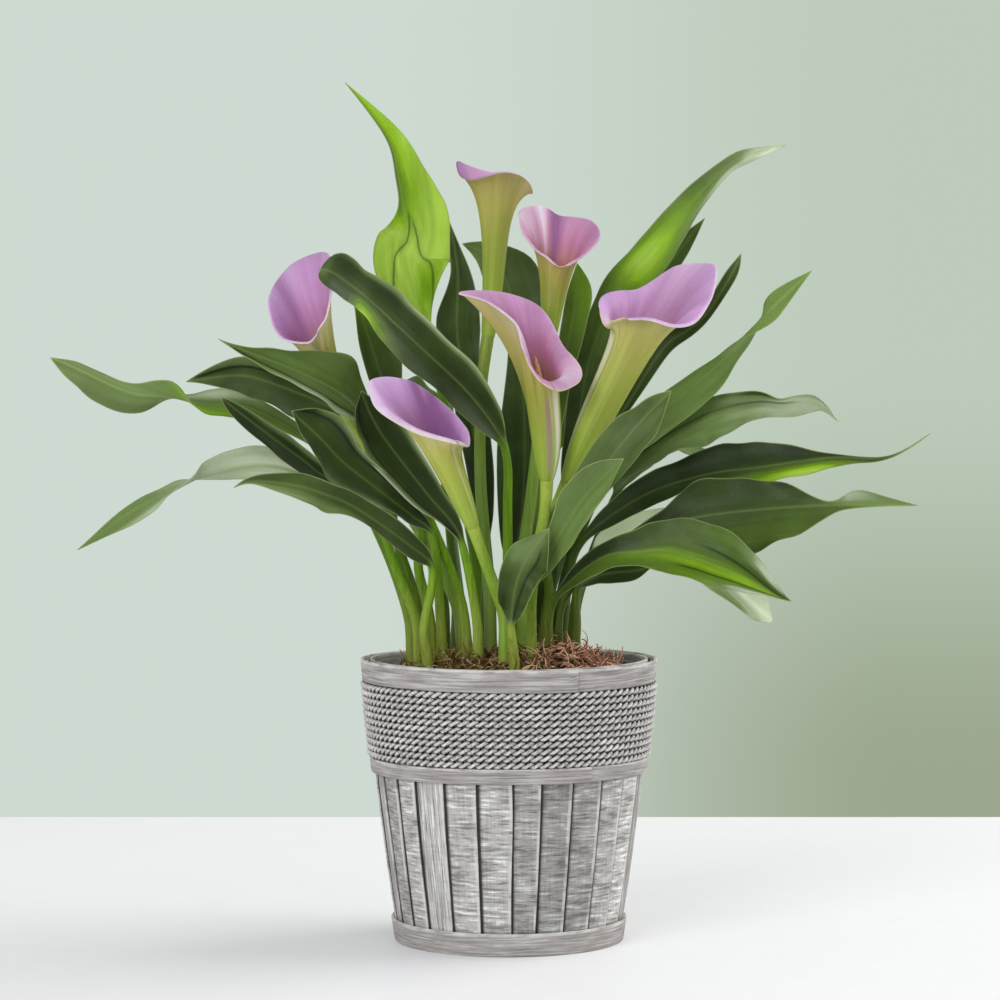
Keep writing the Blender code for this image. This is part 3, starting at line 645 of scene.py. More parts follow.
# %% Mix the rope's grey
rope_material, jute = new_finish("grey_rope")
length, turned = jute.attribute("length"), jute.attribute("turned")
fibres = jute.noise(1, 3, jute.vector(length * 0.5 + turned * 2.0, turned * 9, 0), 0.6)
dust = jute.noise(1, 2, jute.vector(length * 0.03, turned * 0.4, 3), 0.5)
colour = jute.mix(jute.share(fibres, 0.30, 0.66), (0.27, 0.26, 0.25), (0.80, 0.78, 0.77))
colour = jute.mix(jute.share(dust, 0.50, 0.75) * 0.6, colour, (0.90, 0.88, 0.86))
colour = jute.mix(jute.attribute("buried"), colour, (0.03, 0.027, 0.025))
jute.surface(jute.node("ShaderNodeBsdfPrincipled", {}, {
    "Base Color": colour,
    "Roughness": 0.75 + fibres * 0.2,
    "Specular IOR Level": 0.2,
    "Normal": jute.bump(fibres, 0.3 * MM),
}, "BSDF"))
print("rope finish:", rope_material.name)

# %% [markdown]
# ## The rope band
#
# Eleven turns of grey two-strand rope are glued round the basket between the hoops. Each strand is a
# helix that itself winds round the basket, swept as one long six-sided bar. That gives the rope its
# real twist in the outline and in the light, which a bump pattern can't.

# %% Twist the rope
ROPE_TURNS = 11
ROPE_PITCH = 4.02
ROPE_FOOT = 110.6
ROPE_CENTRE_OUT = 1.8
ROPE_CLIMB = 0.08
STRAND_RADIUS = 1.16
STRAND_OFFSET = 1.06
TWISTS_A_TURN = 50
STATIONS_A_TWIST = 8
STRAND_SIDES = 6
STRAND_UNEVEN = 0.06
BURIED_OUT = 1.25


def rope_strand(name, half_turn, *nodes):
    """One of the rope's two strands, half_turn ahead of the other in the twist."""
    stations = ROPE_TURNS * TWISTS_A_TURN * STATIONS_A_TWIST
    bm = bar_blank(STRAND_SIDES, stations - 1)
    length, turned, buried = (layer(bm, n) for n in ("length", "turned", "buried"))
    for vert in bm.verts:
        place = vert.co.z
        around_bar = math.atan2(vert.co.y, vert.co.x)
        angle = math.pi + place * ROPE_TURNS * 2 * math.pi
        turns = min(place * ROPE_TURNS, ROPE_TURNS - 1e-6)
        climb = max(0, (turns % 1 - 1 + ROPE_CLIMB) / ROPE_CLIMB) if turns < ROPE_TURNS - 1 else 0
        height = ROPE_FOOT + (0.5 + int(turns) + climb) * ROPE_PITCH
        twist = place * ROPE_TURNS * TWISTS_A_TURN * 2 * math.pi + half_turn
        turn = around_bar + twist
        radius = wall_radius(height) + ROPE_CENTRE_OUT
        out = STRAND_OFFSET * math.cos(twist) + STRAND_RADIUS * math.cos(turn)
        rise = STRAND_OFFSET * math.sin(twist) + STRAND_RADIUS * math.sin(turn)
        uneven = 1 + STRAND_UNEVEN * noise.noise(Vector((place * 900, half_turn, 0)))
        vert.co = on_wall(angle, radius + out * uneven, height + rise * uneven)
        vert[length] = place * ROPE_TURNS * 2 * math.pi * radius
        vert[turned] = abs(around_bar) / math.pi
        vert[buried] = max(0.0, min(1.0, BURIED_OUT - out))
    show(name, bm, [rope_material], "rope", *nodes)


rope_strand("rope_strand_first", 0, "basket_rope_wrap")
rope_strand("rope_strand_second", math.pi, "basket_rope_wrap")
print("rope turns:", ROPE_TURNS)

# %% [markdown]
# ## Inside the basket
#
# A crumpled dark film lines the basket, and its rim shows between the moss and the hoop. Cloth
# simulation could crumple it, but comes out different each time that it is changed. An open tube that
# noise pushes in and out has the same creases, and Solidify makes a sheet of it.

# %% Line the basket
LINER_FOOT = 60
LINER_TOP = 163
LINER_IN = 4.6
LINER_SEGMENTS = 160
LINER_CUTS = 11
CREASE = 3.3
RIM_WOBBLE = 2
FILM_THICKNESS = 0.25

material, film = new_finish("dark_film")
creases = film.noise(160, 4)
film.surface(film.node("ShaderNodeBsdfPrincipled", {}, {
    "Base Color": film.mix(creases, (0.012, 0.014, 0.008), (0.05, 0.055, 0.035)),
    "Roughness": 0.25 + creases * 0.3,
    "Normal": film.bump(creases, 1.2 * MM),
}, "BSDF"))
bm = bmesh.new()
bmesh.ops.create_cone(bm, cap_ends=False, segments=LINER_SEGMENTS, radius1=1, radius2=1, depth=1)
upright = [e for e in bm.edges if abs(e.verts[0].co.z - e.verts[1].co.z) > 0.5]
bmesh.ops.subdivide_edges(bm, edges=upright, cuts=LINER_CUTS, use_grid_fill=True)
for vert in bm.verts:
    angle = math.atan2(vert.co.x, -vert.co.y)
    rise = vert.co.z + 0.5
    height = LINER_FOOT + rise * (LINER_TOP - LINER_FOOT)
    fold = abs(noise.noise(Vector((math.sin(angle) * 9, math.cos(angle) * 9, rise * 2))))
    sag = noise.noise(Vector((math.sin(angle) * 5, math.cos(angle) * 5, 7)))
    height += sag * RIM_WOBBLE * rise
    vert.co = on_wall(angle, wall_radius(height) - LINER_IN - fold * CREASE, height)
liner = show("liner_film", bm, [material], "liner_film", "plastic_liner")
film_sheet = liner.modifiers.new("film", "SOLIDIFY")
film_sheet.thickness = FILM_THICKNESS * MM
film_sheet.offset = -1
print("film", FILM_THICKNESS, "mm thick")

# %% [markdown]
# ## What stays in the dark
#
# The nursery pot is thin black plastic, the soil is dark crumbs, and the board under them is raw
# plywood. Almost nothing of them shows, so detailed copies would be wasted. They keep their
# construction pieces and get a finish each, with noise for scuffs, crumbs and the wood's growth.

# %% Finish the board, the nursery pot and the soil
def dress(node, material):
    """Gives a construction piece its finish."""
    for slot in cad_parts[node].material_slots:
        slot.material = material
    print(node, "dressed in", material.name)


material, plastic = new_finish("black_plastic")
scuffs = plastic.noise(300, 3)
plastic.surface(plastic.node("ShaderNodeBsdfPrincipled", {}, {
    "Base Color": plastic.mix(scuffs, (0.010, 0.010, 0.011), (0.035, 0.034, 0.033)),
    "Roughness": 0.35 + scuffs * 0.3,
    "Normal": plastic.bump(plastic.noise(1500), 0.05 * MM),
}, "BSDF"))
dress("nursery_pot", material)

material, soil = new_finish("potting_soil_crumbs")
crumbs = soil.noise(420, 6, None, 0.7)
soil.surface(soil.node("ShaderNodeBsdfPrincipled", {}, {
    "Base Color": soil.mix(soil.share(crumbs, 0.35, 0.7), (0.012, 0.008, 0.005), (0.09, 0.055, 0.03)),
    "Roughness": 0.9,
    "Normal": soil.bump(crumbs, 1.5 * MM),
}, "BSDF"))
dress("potting_soil", material)

material, board = new_finish("plywood_board")
growth = board.noise(1, 5, board.place((18, 420, 60)), 0.6)
board.surface(board.node("ShaderNodeBsdfPrincipled", {}, {
    "Base Color": board.mix(board.share(growth, 0.35, 0.65), (0.30, 0.21, 0.13), (0.52, 0.42, 0.30)),
    "Roughness": 0.7,
    "Normal": board.bump(growth, 0.2 * MM),
}, "BSDF"))
dress("basket_base_board", material)

# %% [markdown]
# ## Moss
#
# Dried moss hides the soil. It is olive-gold on the left, dark maroon in the middle and tan with pale
# tips on the right. Three materials would meet in hard lines, so one finish has a dark and a pale ramp
# from left to right, mixed by noise and by each thread's own tone.

# %% Mix the moss
moss_material, moss = new_finish("dried_moss")
thread = moss.attribute("thread")
side = moss.share(moss.node("ShaderNodeSeparateXYZ", {}, {"Vector": moss.place()}, "X"), -0.06, 0.055)
dark = moss.ramp(side, [
    (0.0, (0.13, 0.09, 0.028)), (0.35, (0.10, 0.055, 0.025)), (0.6, (0.17, 0.075, 0.035)),
    (1.0, (0.30, 0.13, 0.08))])
pale = moss.ramp(side, [
    (0.0, (0.50, 0.36, 0.12)), (0.35, (0.36, 0.22, 0.09)), (0.6, (0.72, 0.50, 0.26)),
    (1.0, (0.95, 0.50, 0.35))])
fleck = moss.noise(700, 4, None, 0.7)
colour = moss.mix(moss.share(fleck * 0.5 + thread * 0.5, 0.28, 0.72), dark, pale)
colour = moss.mix(moss.share(thread, 0.82, 0.95) * 0.8, colour, (0.80, 0.66, 0.42))
moss.surface(moss.node("ShaderNodeBsdfPrincipled", {}, {
    "Base Color": colour,
    "Roughness": 0.95,
    "Specular IOR Level": 0.15,
    "Normal": moss.bump(fleck, 1.2 * MM),
}, "BSDF"))
print("moss finish:", moss_material.name)

# %% [markdown]
# ## The mound
#
# The moss has a lumpy body. A flat disc with a bump would look painted on between the stalks, so a
# grid is pulled round, raised by noise and closed underneath by a skirt.

# %% Heap the moss
MOSS_RADIUS = 70
MOSS_FOOT = 157
MOSS_HEIGHT = 10
MOSS_RISE = 11
MOSS_GRID = 90
SWELL_PLACE = (26, -26)
SWELL_REACH = 30
LUMP_HEIGHT = 4
CRUMB_HEIGHT = 1.8


def moss_height(x, y):
    """The mound's height at a place, higher towards the front right."""
    reach = min(1, math.hypot(x, y) / MOSS_RADIUS)
    away = math.dist((x, y), SWELL_PLACE)
    swell = MOSS_RISE * math.exp(-((away / SWELL_REACH) ** 2))
    lumps = noise.noise(Vector((x * 0.06, y * 0.06, 2))) * LUMP_HEIGHT
    crumbs = noise.noise(Vector((x * 0.25, y * 0.25, 8))) * CRUMB_HEIGHT
    return MOSS_FOOT + (MOSS_HEIGHT + swell + lumps + crumbs) * (1 - reach**6) + 1


bm = bmesh.new()
bmesh.ops.create_grid(bm, x_segments=MOSS_GRID, y_segments=MOSS_GRID, size=1)
skirt = bmesh.ops.extrude_face_region(bm, geom=list(bm.faces))["geom"]
raised = {v for v in skirt if isinstance(v, bmesh.types.BMVert)}
thread_tone = layer(bm, "thread")
for vert in bm.verts:
    x, y = vert.co.x, vert.co.y
    x, y = x * math.sqrt(1 - y * y / 2) * MOSS_RADIUS, y * math.sqrt(1 - x * x / 2) * MOSS_RADIUS
    top = moss_height(x, y)
    vert.co = (x, y, top if vert in raised else MOSS_FOOT)
    vert[thread_tone] = 0.3 + 0.35 * noise.noise(Vector((x * 0.3, y * 0.3, 4)))
show("moss_mound", bm, [moss_material], "moss", "moss_mulch")

# %% [markdown]
# ## Threads of moss
#
# Curled threads stand out of the mound. Hair curves would be lighter, but they don't survive an
# export, so each thread is a thin three-sided bar of a few faces, and all of them are joined in one
# piece. Chance gives each its foot, its aim, its bend, its length and its tone.

# %% Add the threads
THREADS = 1800
THREAD_SIDES = 3
THREAD_CUTS = 6

thread_bar = bar_blank(THREAD_SIDES, THREAD_CUTS)
thread_size = len(thread_bar.verts)
thread_mesh = bpy.data.meshes.new("thread")
thread_bar.to_mesh(thread_mesh)
thread_bar.free()

random.seed(11)
threads = []
for _ in range(THREADS):
    reach = math.sqrt(random.random()) * (MOSS_RADIUS + 1)
    angle = random.uniform(-math.pi, math.pi)
    foot = on_wall(angle, reach, 0)
    foot.z = moss_height(foot.x, foot.y) - 1.5
    aim = Vector((random.gauss(0, 1), random.gauss(0, 1), random.uniform(0.1, 0.9))).normalized()
    threads.append({
        "foot": foot, "aim": aim, "length": random.uniform(6, 16),
        "bend": Vector((random.gauss(0, 1), random.gauss(0, 1), random.gauss(-0.4, 0.6))),
        "turn": random.uniform(0.7, 3.6), "width": random.uniform(0.35, 0.9), "tone": random.random(),
    })

bm = bmesh.new()
for _ in threads:
    bm.from_mesh(thread_mesh)
thread_tone = layer(bm, "thread")
for index, vert in enumerate(bm.verts):
    one = threads[index // thread_size]
    along = vert.co.z
    aim = one["aim"]
    side = aim.cross(one["bend"]).normalized()
    bend = side.cross(aim)
    turned = one["turn"] * along
    radius = one["length"] / one["turn"]
    middle = one["foot"] + (aim * math.sin(turned) + bend * (1 - math.cos(turned))) * radius
    other = bend * math.cos(turned) - aim * math.sin(turned)
    width = one["width"] * (1 - 0.6 * along)
    vert.co = middle + (side * vert.co.x + other * vert.co.y) * width
    vert[thread_tone] = one["tone"]
show("moss_threads", bm, [moss_material], "moss")
print("threads:", len(threads))

# %% [markdown]
# ## Leaves
#
# A calla leaf is an arrowhead on a fleshy stalk. A plane with a cut-out picture of one would have no
# thickness, no keel under its midrib and no edge. So each leaf is drawn here as its maker would draw
# it, and one rule further down turns every drawing into a solid. Lengths are in millimetres. A drawing
# says:
#
# - `root`, `stalk` and `spine`: where the stalk leaves the soil, and the points that its line and then
#   the blade's middle line pass through.
# - `left` and `right`: the half widths of the blade, seen from its upper face with the tip upwards.
# - `face` and `tip_face`: which way the upper face looks at the neck and at the tip. `roll` turns the
#   blade round its spine by so many degrees, where a leaf twists until its back shows.
# - `young`: the tone from dark green at 0 to lime at 1, for the left of the base, the left of the
#   tip, the right of the base and the right of the tip. It is lime where a leaf is younger, and it
#   also carries painted light and shade: it is higher where a part is lit and lower where it lies in
#   shade. `contrast` sharpens the step from left to right.
# - `grey`: how waxy and pale the base and the tip are, together with a painted sheen, a reflection of
#   the sky. More than 1 is pale and 3 is almost white.
# - `patches`: soft spots that differ, many of them painted lit spots, painted shade and painted sheen.
#   Each has its place along the blade and across it, its length and its width, and what it adds to
#   young and to grey.
# - `creases`: lines where the blade is folded, as places along it and across it.
# - `wave` is how much the margins ripple, and `sheath` makes the foot of a stalk thicker.
#
# The first leaves stand in the left half and the middle, and one of them arches over to the front.

# %% Draw the upright leaves
LEAVES = {
    "tall_back": {
        "root": (-15, 36), "stalk": [(-16, 37, 202), (-29, 44, 274), (-42, 50, 332)],
        "spine": [(-50, 52, 356), (-58, 50, 378), (-67, 47, 407), (-63, 47, 425), (-65, 48, 440),
                  (-68, 49, 458), (-74, 47, 483), (-100, 38, 516)],
        "left": (11, 17, 15, 3, 1.5, 1.5), "right": (12, 34, 28, 26, 19, 9),
        "face": (0.1, -1, 0), "tip_face": (0.1, -1, -0.1),
        "young": (1.05, 0.6, 1.05, 0.9), "grey": (0.1, 0.0), "sheath": 1.2, "wave": 0.6,
        "creases": [[(0.14, -1.0), (0.26, -0.25), (0.37, 0.05), (0.52, 0.1)],
                    [(0.14, 1.0), (0.30, 0.45), (0.46, 0.17)]],
        "patches": [(0.8, -0.7, 0.25, 0.6, -0.4, 0), (0.16, -0.6, 0.16, 0.7, 0.4, 0),
                    (0.64, -0.25, 0.17, 0.55, -0.36, -0.3), (0.2, 0.6, 0.08, 0.3, -0.4, 0),
                    (0.36, -0.65, 0.14, 0.5, 0.4, -0.2)],
    },
    "arching_front": {
        "root": (-5, -14), "stalk": [(-1, -15, 204), (-1, -16, 263)],
        "spine": [(-2, -16, 293), (-22, -23, 324), (-54, -34, 355), (-80, -47, 379), (-91, -54, 388),
                  (-104, -61, 397), (-110, -57, 397)],
        "left": (17, 20, 14, 12, 13), "right": (13, 16, 15, 13, 13),
        "face": (0.5, -0.8, 0.3), "tip_face": (0.3, -0.9, 0.4),
        "young": (0.1, 0.06, 0.08, 0.06), "grey": (0.05, 0.1), "wave": 0.8,
        "patches": [(0.95, 0, 0.12, 1.0, 0.1, 0.6), (0.3, 0.95, 0.4, 0.12, 0.05, 1.3),
                    (0.52, -0.9, 0.1, 0.6, 0.95, 0)],
    },
    "small_left": {
        "root": (-40, 26), "stalk": [(-40, 26, 202), (-52, 24, 250)],
        "spine": [(-71, 17, 315), (-75, 15, 331), (-80, 13, 346), (-84, 11, 359), (-90, 8, 378),
                  (-95, 6, 384)],
        "left": (8, 8, 7, 3), "right": (11, 16, 16, 6),
        "face": (0.2, -1, -0.1), "tip_face": (0.2, -1, -0.1),
        "young": (0.12, 0.35, 0.12, 0.35), "grey": (0.3, 0.1), "sheath": 1.0, "wave": 0.6,
        "patches": [(0.9, 0.3, 0.16, 1.0, 0.55, 0)],
    },
    "dark_middle": {
        "root": (-14, 22), "stalk": [(-14, 22, 202)],
        "spine": [(-14, 23, 228), (-18, 26, 280), (-27, 28, 332), (-30, 31, 352), (-32, 34, 369),
                  (-31, 36, 397), (-33, 37, 414), (-36, 37, 431)],
        "left": (9, 11, 13, 15, 6, 4), "right": (9, 11, 12, 15, 9, 4),
        "face": (0.3, -0.9, 0.2), "tip_face": (0.4, -0.9, 0.1),
        "young": (0.05, 0.12, 0.08, 0.12), "grey": (0.1, 0.2), "wave": 0.6,
    },
    "grey_back": {
        "root": (-2, 46), "stalk": [(0, 46, 190)],
        "spine": [(2, 50, 214), (8, 56, 250), (10, 58, 290), (9, 60, 325), (6, 62, 360), (2, 63, 384),
                  (-3, 64, 399), (-15, 62, 413), (-29, 60, 419)],
        "left": (15, 18, 13, 7, 12, 15, 8), "right": (6, 9, 9, 12, 20, 21, 9),
        "face": (0, -1, 0.1), "tip_face": (0.2, -1, 0.1),
        "young": (0.08, 0.2, 0.08, 0.2), "grey": (0.0, 0.65), "sheath": 1.5, "wave": 0.8,
    },
    "bright_point": {
        "root": (3, 26), "stalk": [(9, 25, 202)],
        "spine": [(11, 24, 222), (17, 22, 262), (27, 20, 323), (33, 18, 347), (38, 17, 370),
                  (41, 15, 390), (41, 13, 405)],
        "left": (7, 7, 6, 7, 6), "right": (7, 8, 8, 9, 9),
        "face": (0.2, -1, -0.1), "tip_face": (0.2, -1, -0.1),
        "young": (0.05, 0.5, 0.05, 0.7), "grey": (0.3, 0.05), "wave": 0.5,
        "patches": [(0.19, 0, 0.1, 1.5, 0.55, 0.4)],
    },
}
print(len(LEAVES), "leaves drawn")

# %% [markdown]
# ## Leaves on the right
#
# Those at the back stand up behind the flowers. Two of them twist over towards the tip, so they have
# a roll.

# %% Draw the leaves on the right
LEAVES.update({
    "upright_right": {
        "root": (11, 36), "stalk": [(19, 37, 201), (27, 38, 235)],
        "spine": [(33, 38, 262), (41, 37, 300), (50, 37, 350), (68, 36, 391), (81, 34, 408),
                  (107, 28, 438), (130, 17, 462), (141, 11, 469), (165, -4, 474)],
        "left": (8, 10, 11, 9, 9, 5, 4), "right": (7, 10, 16, 19, 10, 5, 6),
        "face": (-0.4, -0.9, 0.2), "tip_face": (-0.5, -0.9, -0.1),
        "young": (0.08, 0.3, 0.08, 0.2), "grey": (0.0, 1.0), "sheath": 1.2, "wave": 0.8,
        "patches": [(0.75, 0.8, 0.15, 0.4, 0.1, 1.3), (0.48, 0.3, 0.16, 1.0, 0.5, 0),
                    (0.6, 0, 0.15, 1, 0.15, -0.5), (0.46, -0.5, 0.12, 0.9, 0.35, 0),
                    (0.97, 0.3, 0.08, 1.5, 0, 1.6)],
    },
    "upright_behind": {
        "root": (18, 48), "stalk": [(24, 54, 200), (38, 60, 244), (52, 63, 298)],
        "spine": [(60, 62, 347), (74, 63, 372), (90, 62, 395), (107, 57, 417), (120, 46, 434)],
        "left": (8, 8, 6), "right": (9, 9, 6),
        "face": (-0.3, -1, 0.2), "tip_face": (-0.4, -0.9, -0.1),
        "young": (0.55, 0.15, 0.5, 0.15), "grey": (0.1, 0.4), "wave": 0.6,
    },
    "slender_right": {
        "root": (26, 37), "stalk": [(31, 40, 200), (44, 43, 250)],
        "spine": [(59, 42, 299), (72, 41, 319), (94, 34, 354), (109, 29, 365), (120, 26, 375),
                  (135, 20, 399), (140, 18, 411)],
        "left": (4, 6, 6, 4, 4), "right": (4, 6, 5, 4, 4),
        "face": (-0.4, -0.9, 0.2), "tip_face": (-0.5, -0.9, 0),
        "young": (0.12, 0.15, 0.12, 0.12), "grey": (0.1, 0.2), "wave": 0.4,
    },
    "twisted_right": {
        "root": (15, 16), "stalk": [(24, 17, 202)],
        "spine": [(39, 15, 262), (65, 9, 295), (83, 5, 310), (117, -3, 337), (147, -11, 367),
                  (158, -14, 379), (179, -20, 399)],
        "left": (9, 8, 9, 9, 6), "right": (13, 13, 12, 9, 9),
        "face": (-0.4, -0.9, 0.2), "tip_face": (0.1, -0.9, -0.4),
        "young": (0.3, 0.55, 0.35, 0.5), "grey": (0.7, 0.35), "wave": 0.9,
        "roll": (0, 0, 8, 30, 90, 140, 165),
        "patches": [(0.62, 0, 0.12, 1, 0.1, 0.35)],
    },
    "curly_right": {
        "root": (25, 26), "stalk": [(34, 25, 212)],
        "spine": [(55, 24, 267), (87, 17, 297), (119, 10, 315), (149, 5, 321), (163, 3, 320),
                  (184, -1, 321), (197, -4, 309)],
        "left": (9, 9, 7, 3, 9), "right": (17, 20, 11, 8, 7),
        "face": (-0.5, -0.8, 0.3), "tip_face": (-0.1, -0.9, 0.4),
        "young": (0.35, 0.3, 0.3, 0.3), "grey": (0.5, 1.8), "wave": 2.2,
        "roll": (0, 0, 5, 15, 25, 70, 100),
        "creases": [[(0.1, 0.1), (0.7, -0.1)]],
        "patches": [(0.8, -0.6, 0.16, 0.9, 0, 0.5), (0.55, -0.85, 0.18, 0.3, -0.25, -1.2),
                    (0.2, -0.4, 0.2, 0.8, 0, -0.2),
                    (0.5, 0.5, 0.25, 0.5, 0.35, 0.25)],
    },
})
print(len(LEAVES), "leaves drawn")

# %% [markdown]
# ## Low leaves on the right
#
# The lower a leaf is, the flatter it lies, as on a plant that has room. The lowest ones hang over the
# rim of the basket.

# %% Draw the low leaves on the right
LEAVES.update({
    "broad_middle": {
        "root": (15, -5), "stalk": [(24, -18, 206)],
        "spine": [(22, -26, 227), (29, -38, 246), (40, -48, 264), (66, -61, 298), (78, -61, 312),
                  (87, -58, 321), (94, -54, 328)],
        "left": (8, 11, 13, 9, 6), "right": (10, 13, 15, 13, 6),
        "face": (-0.5, -0.8, -0.2), "tip_face": (-0.2, -0.8, 0.5),
        "young": (0.22, 0.22, 0.25, 0.2), "grey": (0.5, 0.4), "wave": 0.8,
    },
    "front_small": {
        "root": (12, -32), "stalk": [],
        "spine": [(14, -52, 211), (22, -64, 230), (31, -74, 248), (41, -82, 264), (53, -88, 278),
                  (65, -91, 289)],
        "left": (5, 9, 13, 11), "right": (7, 12, 12, 10),
        "face": (-0.6, -0.8, -0.3), "tip_face": (-0.4, -0.8, 0.4),
        "young": (0.3, 0.22, 0.45, 0.4), "grey": (0.5, 0.5), "wave": 0.6,
        "patches": [(0.5, 0.9, 0.5, 0.4, 0.1, 0.5)],
    },
    "long_dark": {
        "root": (27, 9), "stalk": [(35, 10, 209)],
        "spine": [(43, 10, 237), (79, 10, 264), (116, 7, 277), (149, 3, 282), (193, -1, 288),
                  (226, -5, 288), (251, -10, 303)],
        "left": (10, 15, 17, 3, 1.2), "right": (11, 8, 16, 9, 1.5),
        "face": (-0.3, -0.9, 0.4), "tip_face": (-0.2, -0.7, 0.7),
        "young": (0.02, 0.03, 0.03, 0.15), "grey": (0.1, 0.08), "wave": 1.0,
        "patches": [(0.58, 0.75, 0.13, 0.5, 1.0, 0)],
    },
    "big_dark_right": {
        "root": (26, -6), "stalk": [(31, -12, 202)],
        "spine": [(52, -16, 226), (92, -31, 247), (112, -36, 254), (152, -43, 259), (186, -46, 261),
                  (203, -47, 261), (238, -50, 261)],
        "left": (10, 20, 18, 2, 9), "right": (14, 27, 30, 7, 2),
        "face": (-0.5, -0.9, 0.2), "tip_face": (0, -0.7, 0.7),
        "young": (0.06, 0.15, 0.03, 0.4), "grey": (-0.2, 0.4), "wave": 1.4,
        "roll": (0, 0, 0, 0, 20, 25, 0),
        "patches": [(0.8, -0.7, 0.1, 0.6, 0.15, 1.3), (0.97, 0, 0.1, 1, 0.25, 0.5),
                    (0.45, 0.5, 0.2, 0.3, 0.12, 0)],
    },
    "bright_low": {
        "root": (18, -18), "stalk": [],
        "spine": [(26, -34, 204), (52, -61, 230), (75, -71, 235), (95, -78, 235), (126, -88, 224),
                  (149, -97, 212), (160, -101, 208)],
        "left": (8, 13, 21, 19, 7), "right": (9, 10, 16, 14, 5),
        "face": (-0.7, -0.6, 0.1), "tip_face": (0.1, -0.7, 0.7),
        "young": (0.2, 0.3, 0.32, 0.5), "grey": (-0.3, 0.0), "wave": 1.2,
        "contrast": 3,
        "creases": [[(0.55, 0.45), (0.97, 0.3)], [(0.6, -0.4), (0.97, -0.2)]],
        "patches": [(0.78, 0.8, 0.13, 0.25, 0, 2.8), (0.8, -0.85, 0.12, 0.2, 0.1, 2.8),
                    (0.45, 0.12, 0.35, 0.2, 0.28, 0), (0.85, 0.1, 0.15, 0.3, 0.35, 0.5),
                    (0.2, -0.5, 0.2, 0.6, -0.22, -0.3), (0.72, 0.45, 0.3, 0.3, 0.16, 0)],
    },
    "small_low": {
        "root": (35, -14), "stalk": [(40, -15, 190)],
        "spine": [(40, -17, 209), (50, -18, 217), (61, -19, 220), (73, -20, 221), (84, -20, 223)],
        "left": (4, 7, 7), "right": (5, 8, 8),
        "face": (-0.3, -0.9, 0.3), "tip_face": (-0.1, -0.8, 0.6),
        "young": (0.08, 0.08, 0.08, 0.08), "grey": (0, 0), "wave": 0.5,
    },
    "pale_hanging": {
        "root": (36, 18), "stalk": [(41, 26, 202)],
        "spine": [(51, 32, 228), (62, 38, 237), (94, 45, 245), (111, 47, 237), (125, 49, 218),
                  (152, 51, 193), (163, 52, 186)],
        "left": (8, 13, 14, 13, 11), "right": (9, 15, 17, 15, 8),
        "face": (0.1, -0.8, 0.6), "tip_face": (0.4, -0.8, 0.4),
        "young": (0.75, 0.5, 0.8, 0.6), "grey": (3.2, 3.0), "wave": 1.0,
        "patches": [(0.72, 0.7, 0.14, 0.6, -0.25, -2.9)],
    },
})
print(len(LEAVES), "leaves drawn")

# %% [markdown]
# ## Leaves on the left
#
# The two longest twist half round on their way out. One shows its back at the tip, the other at its
# base.

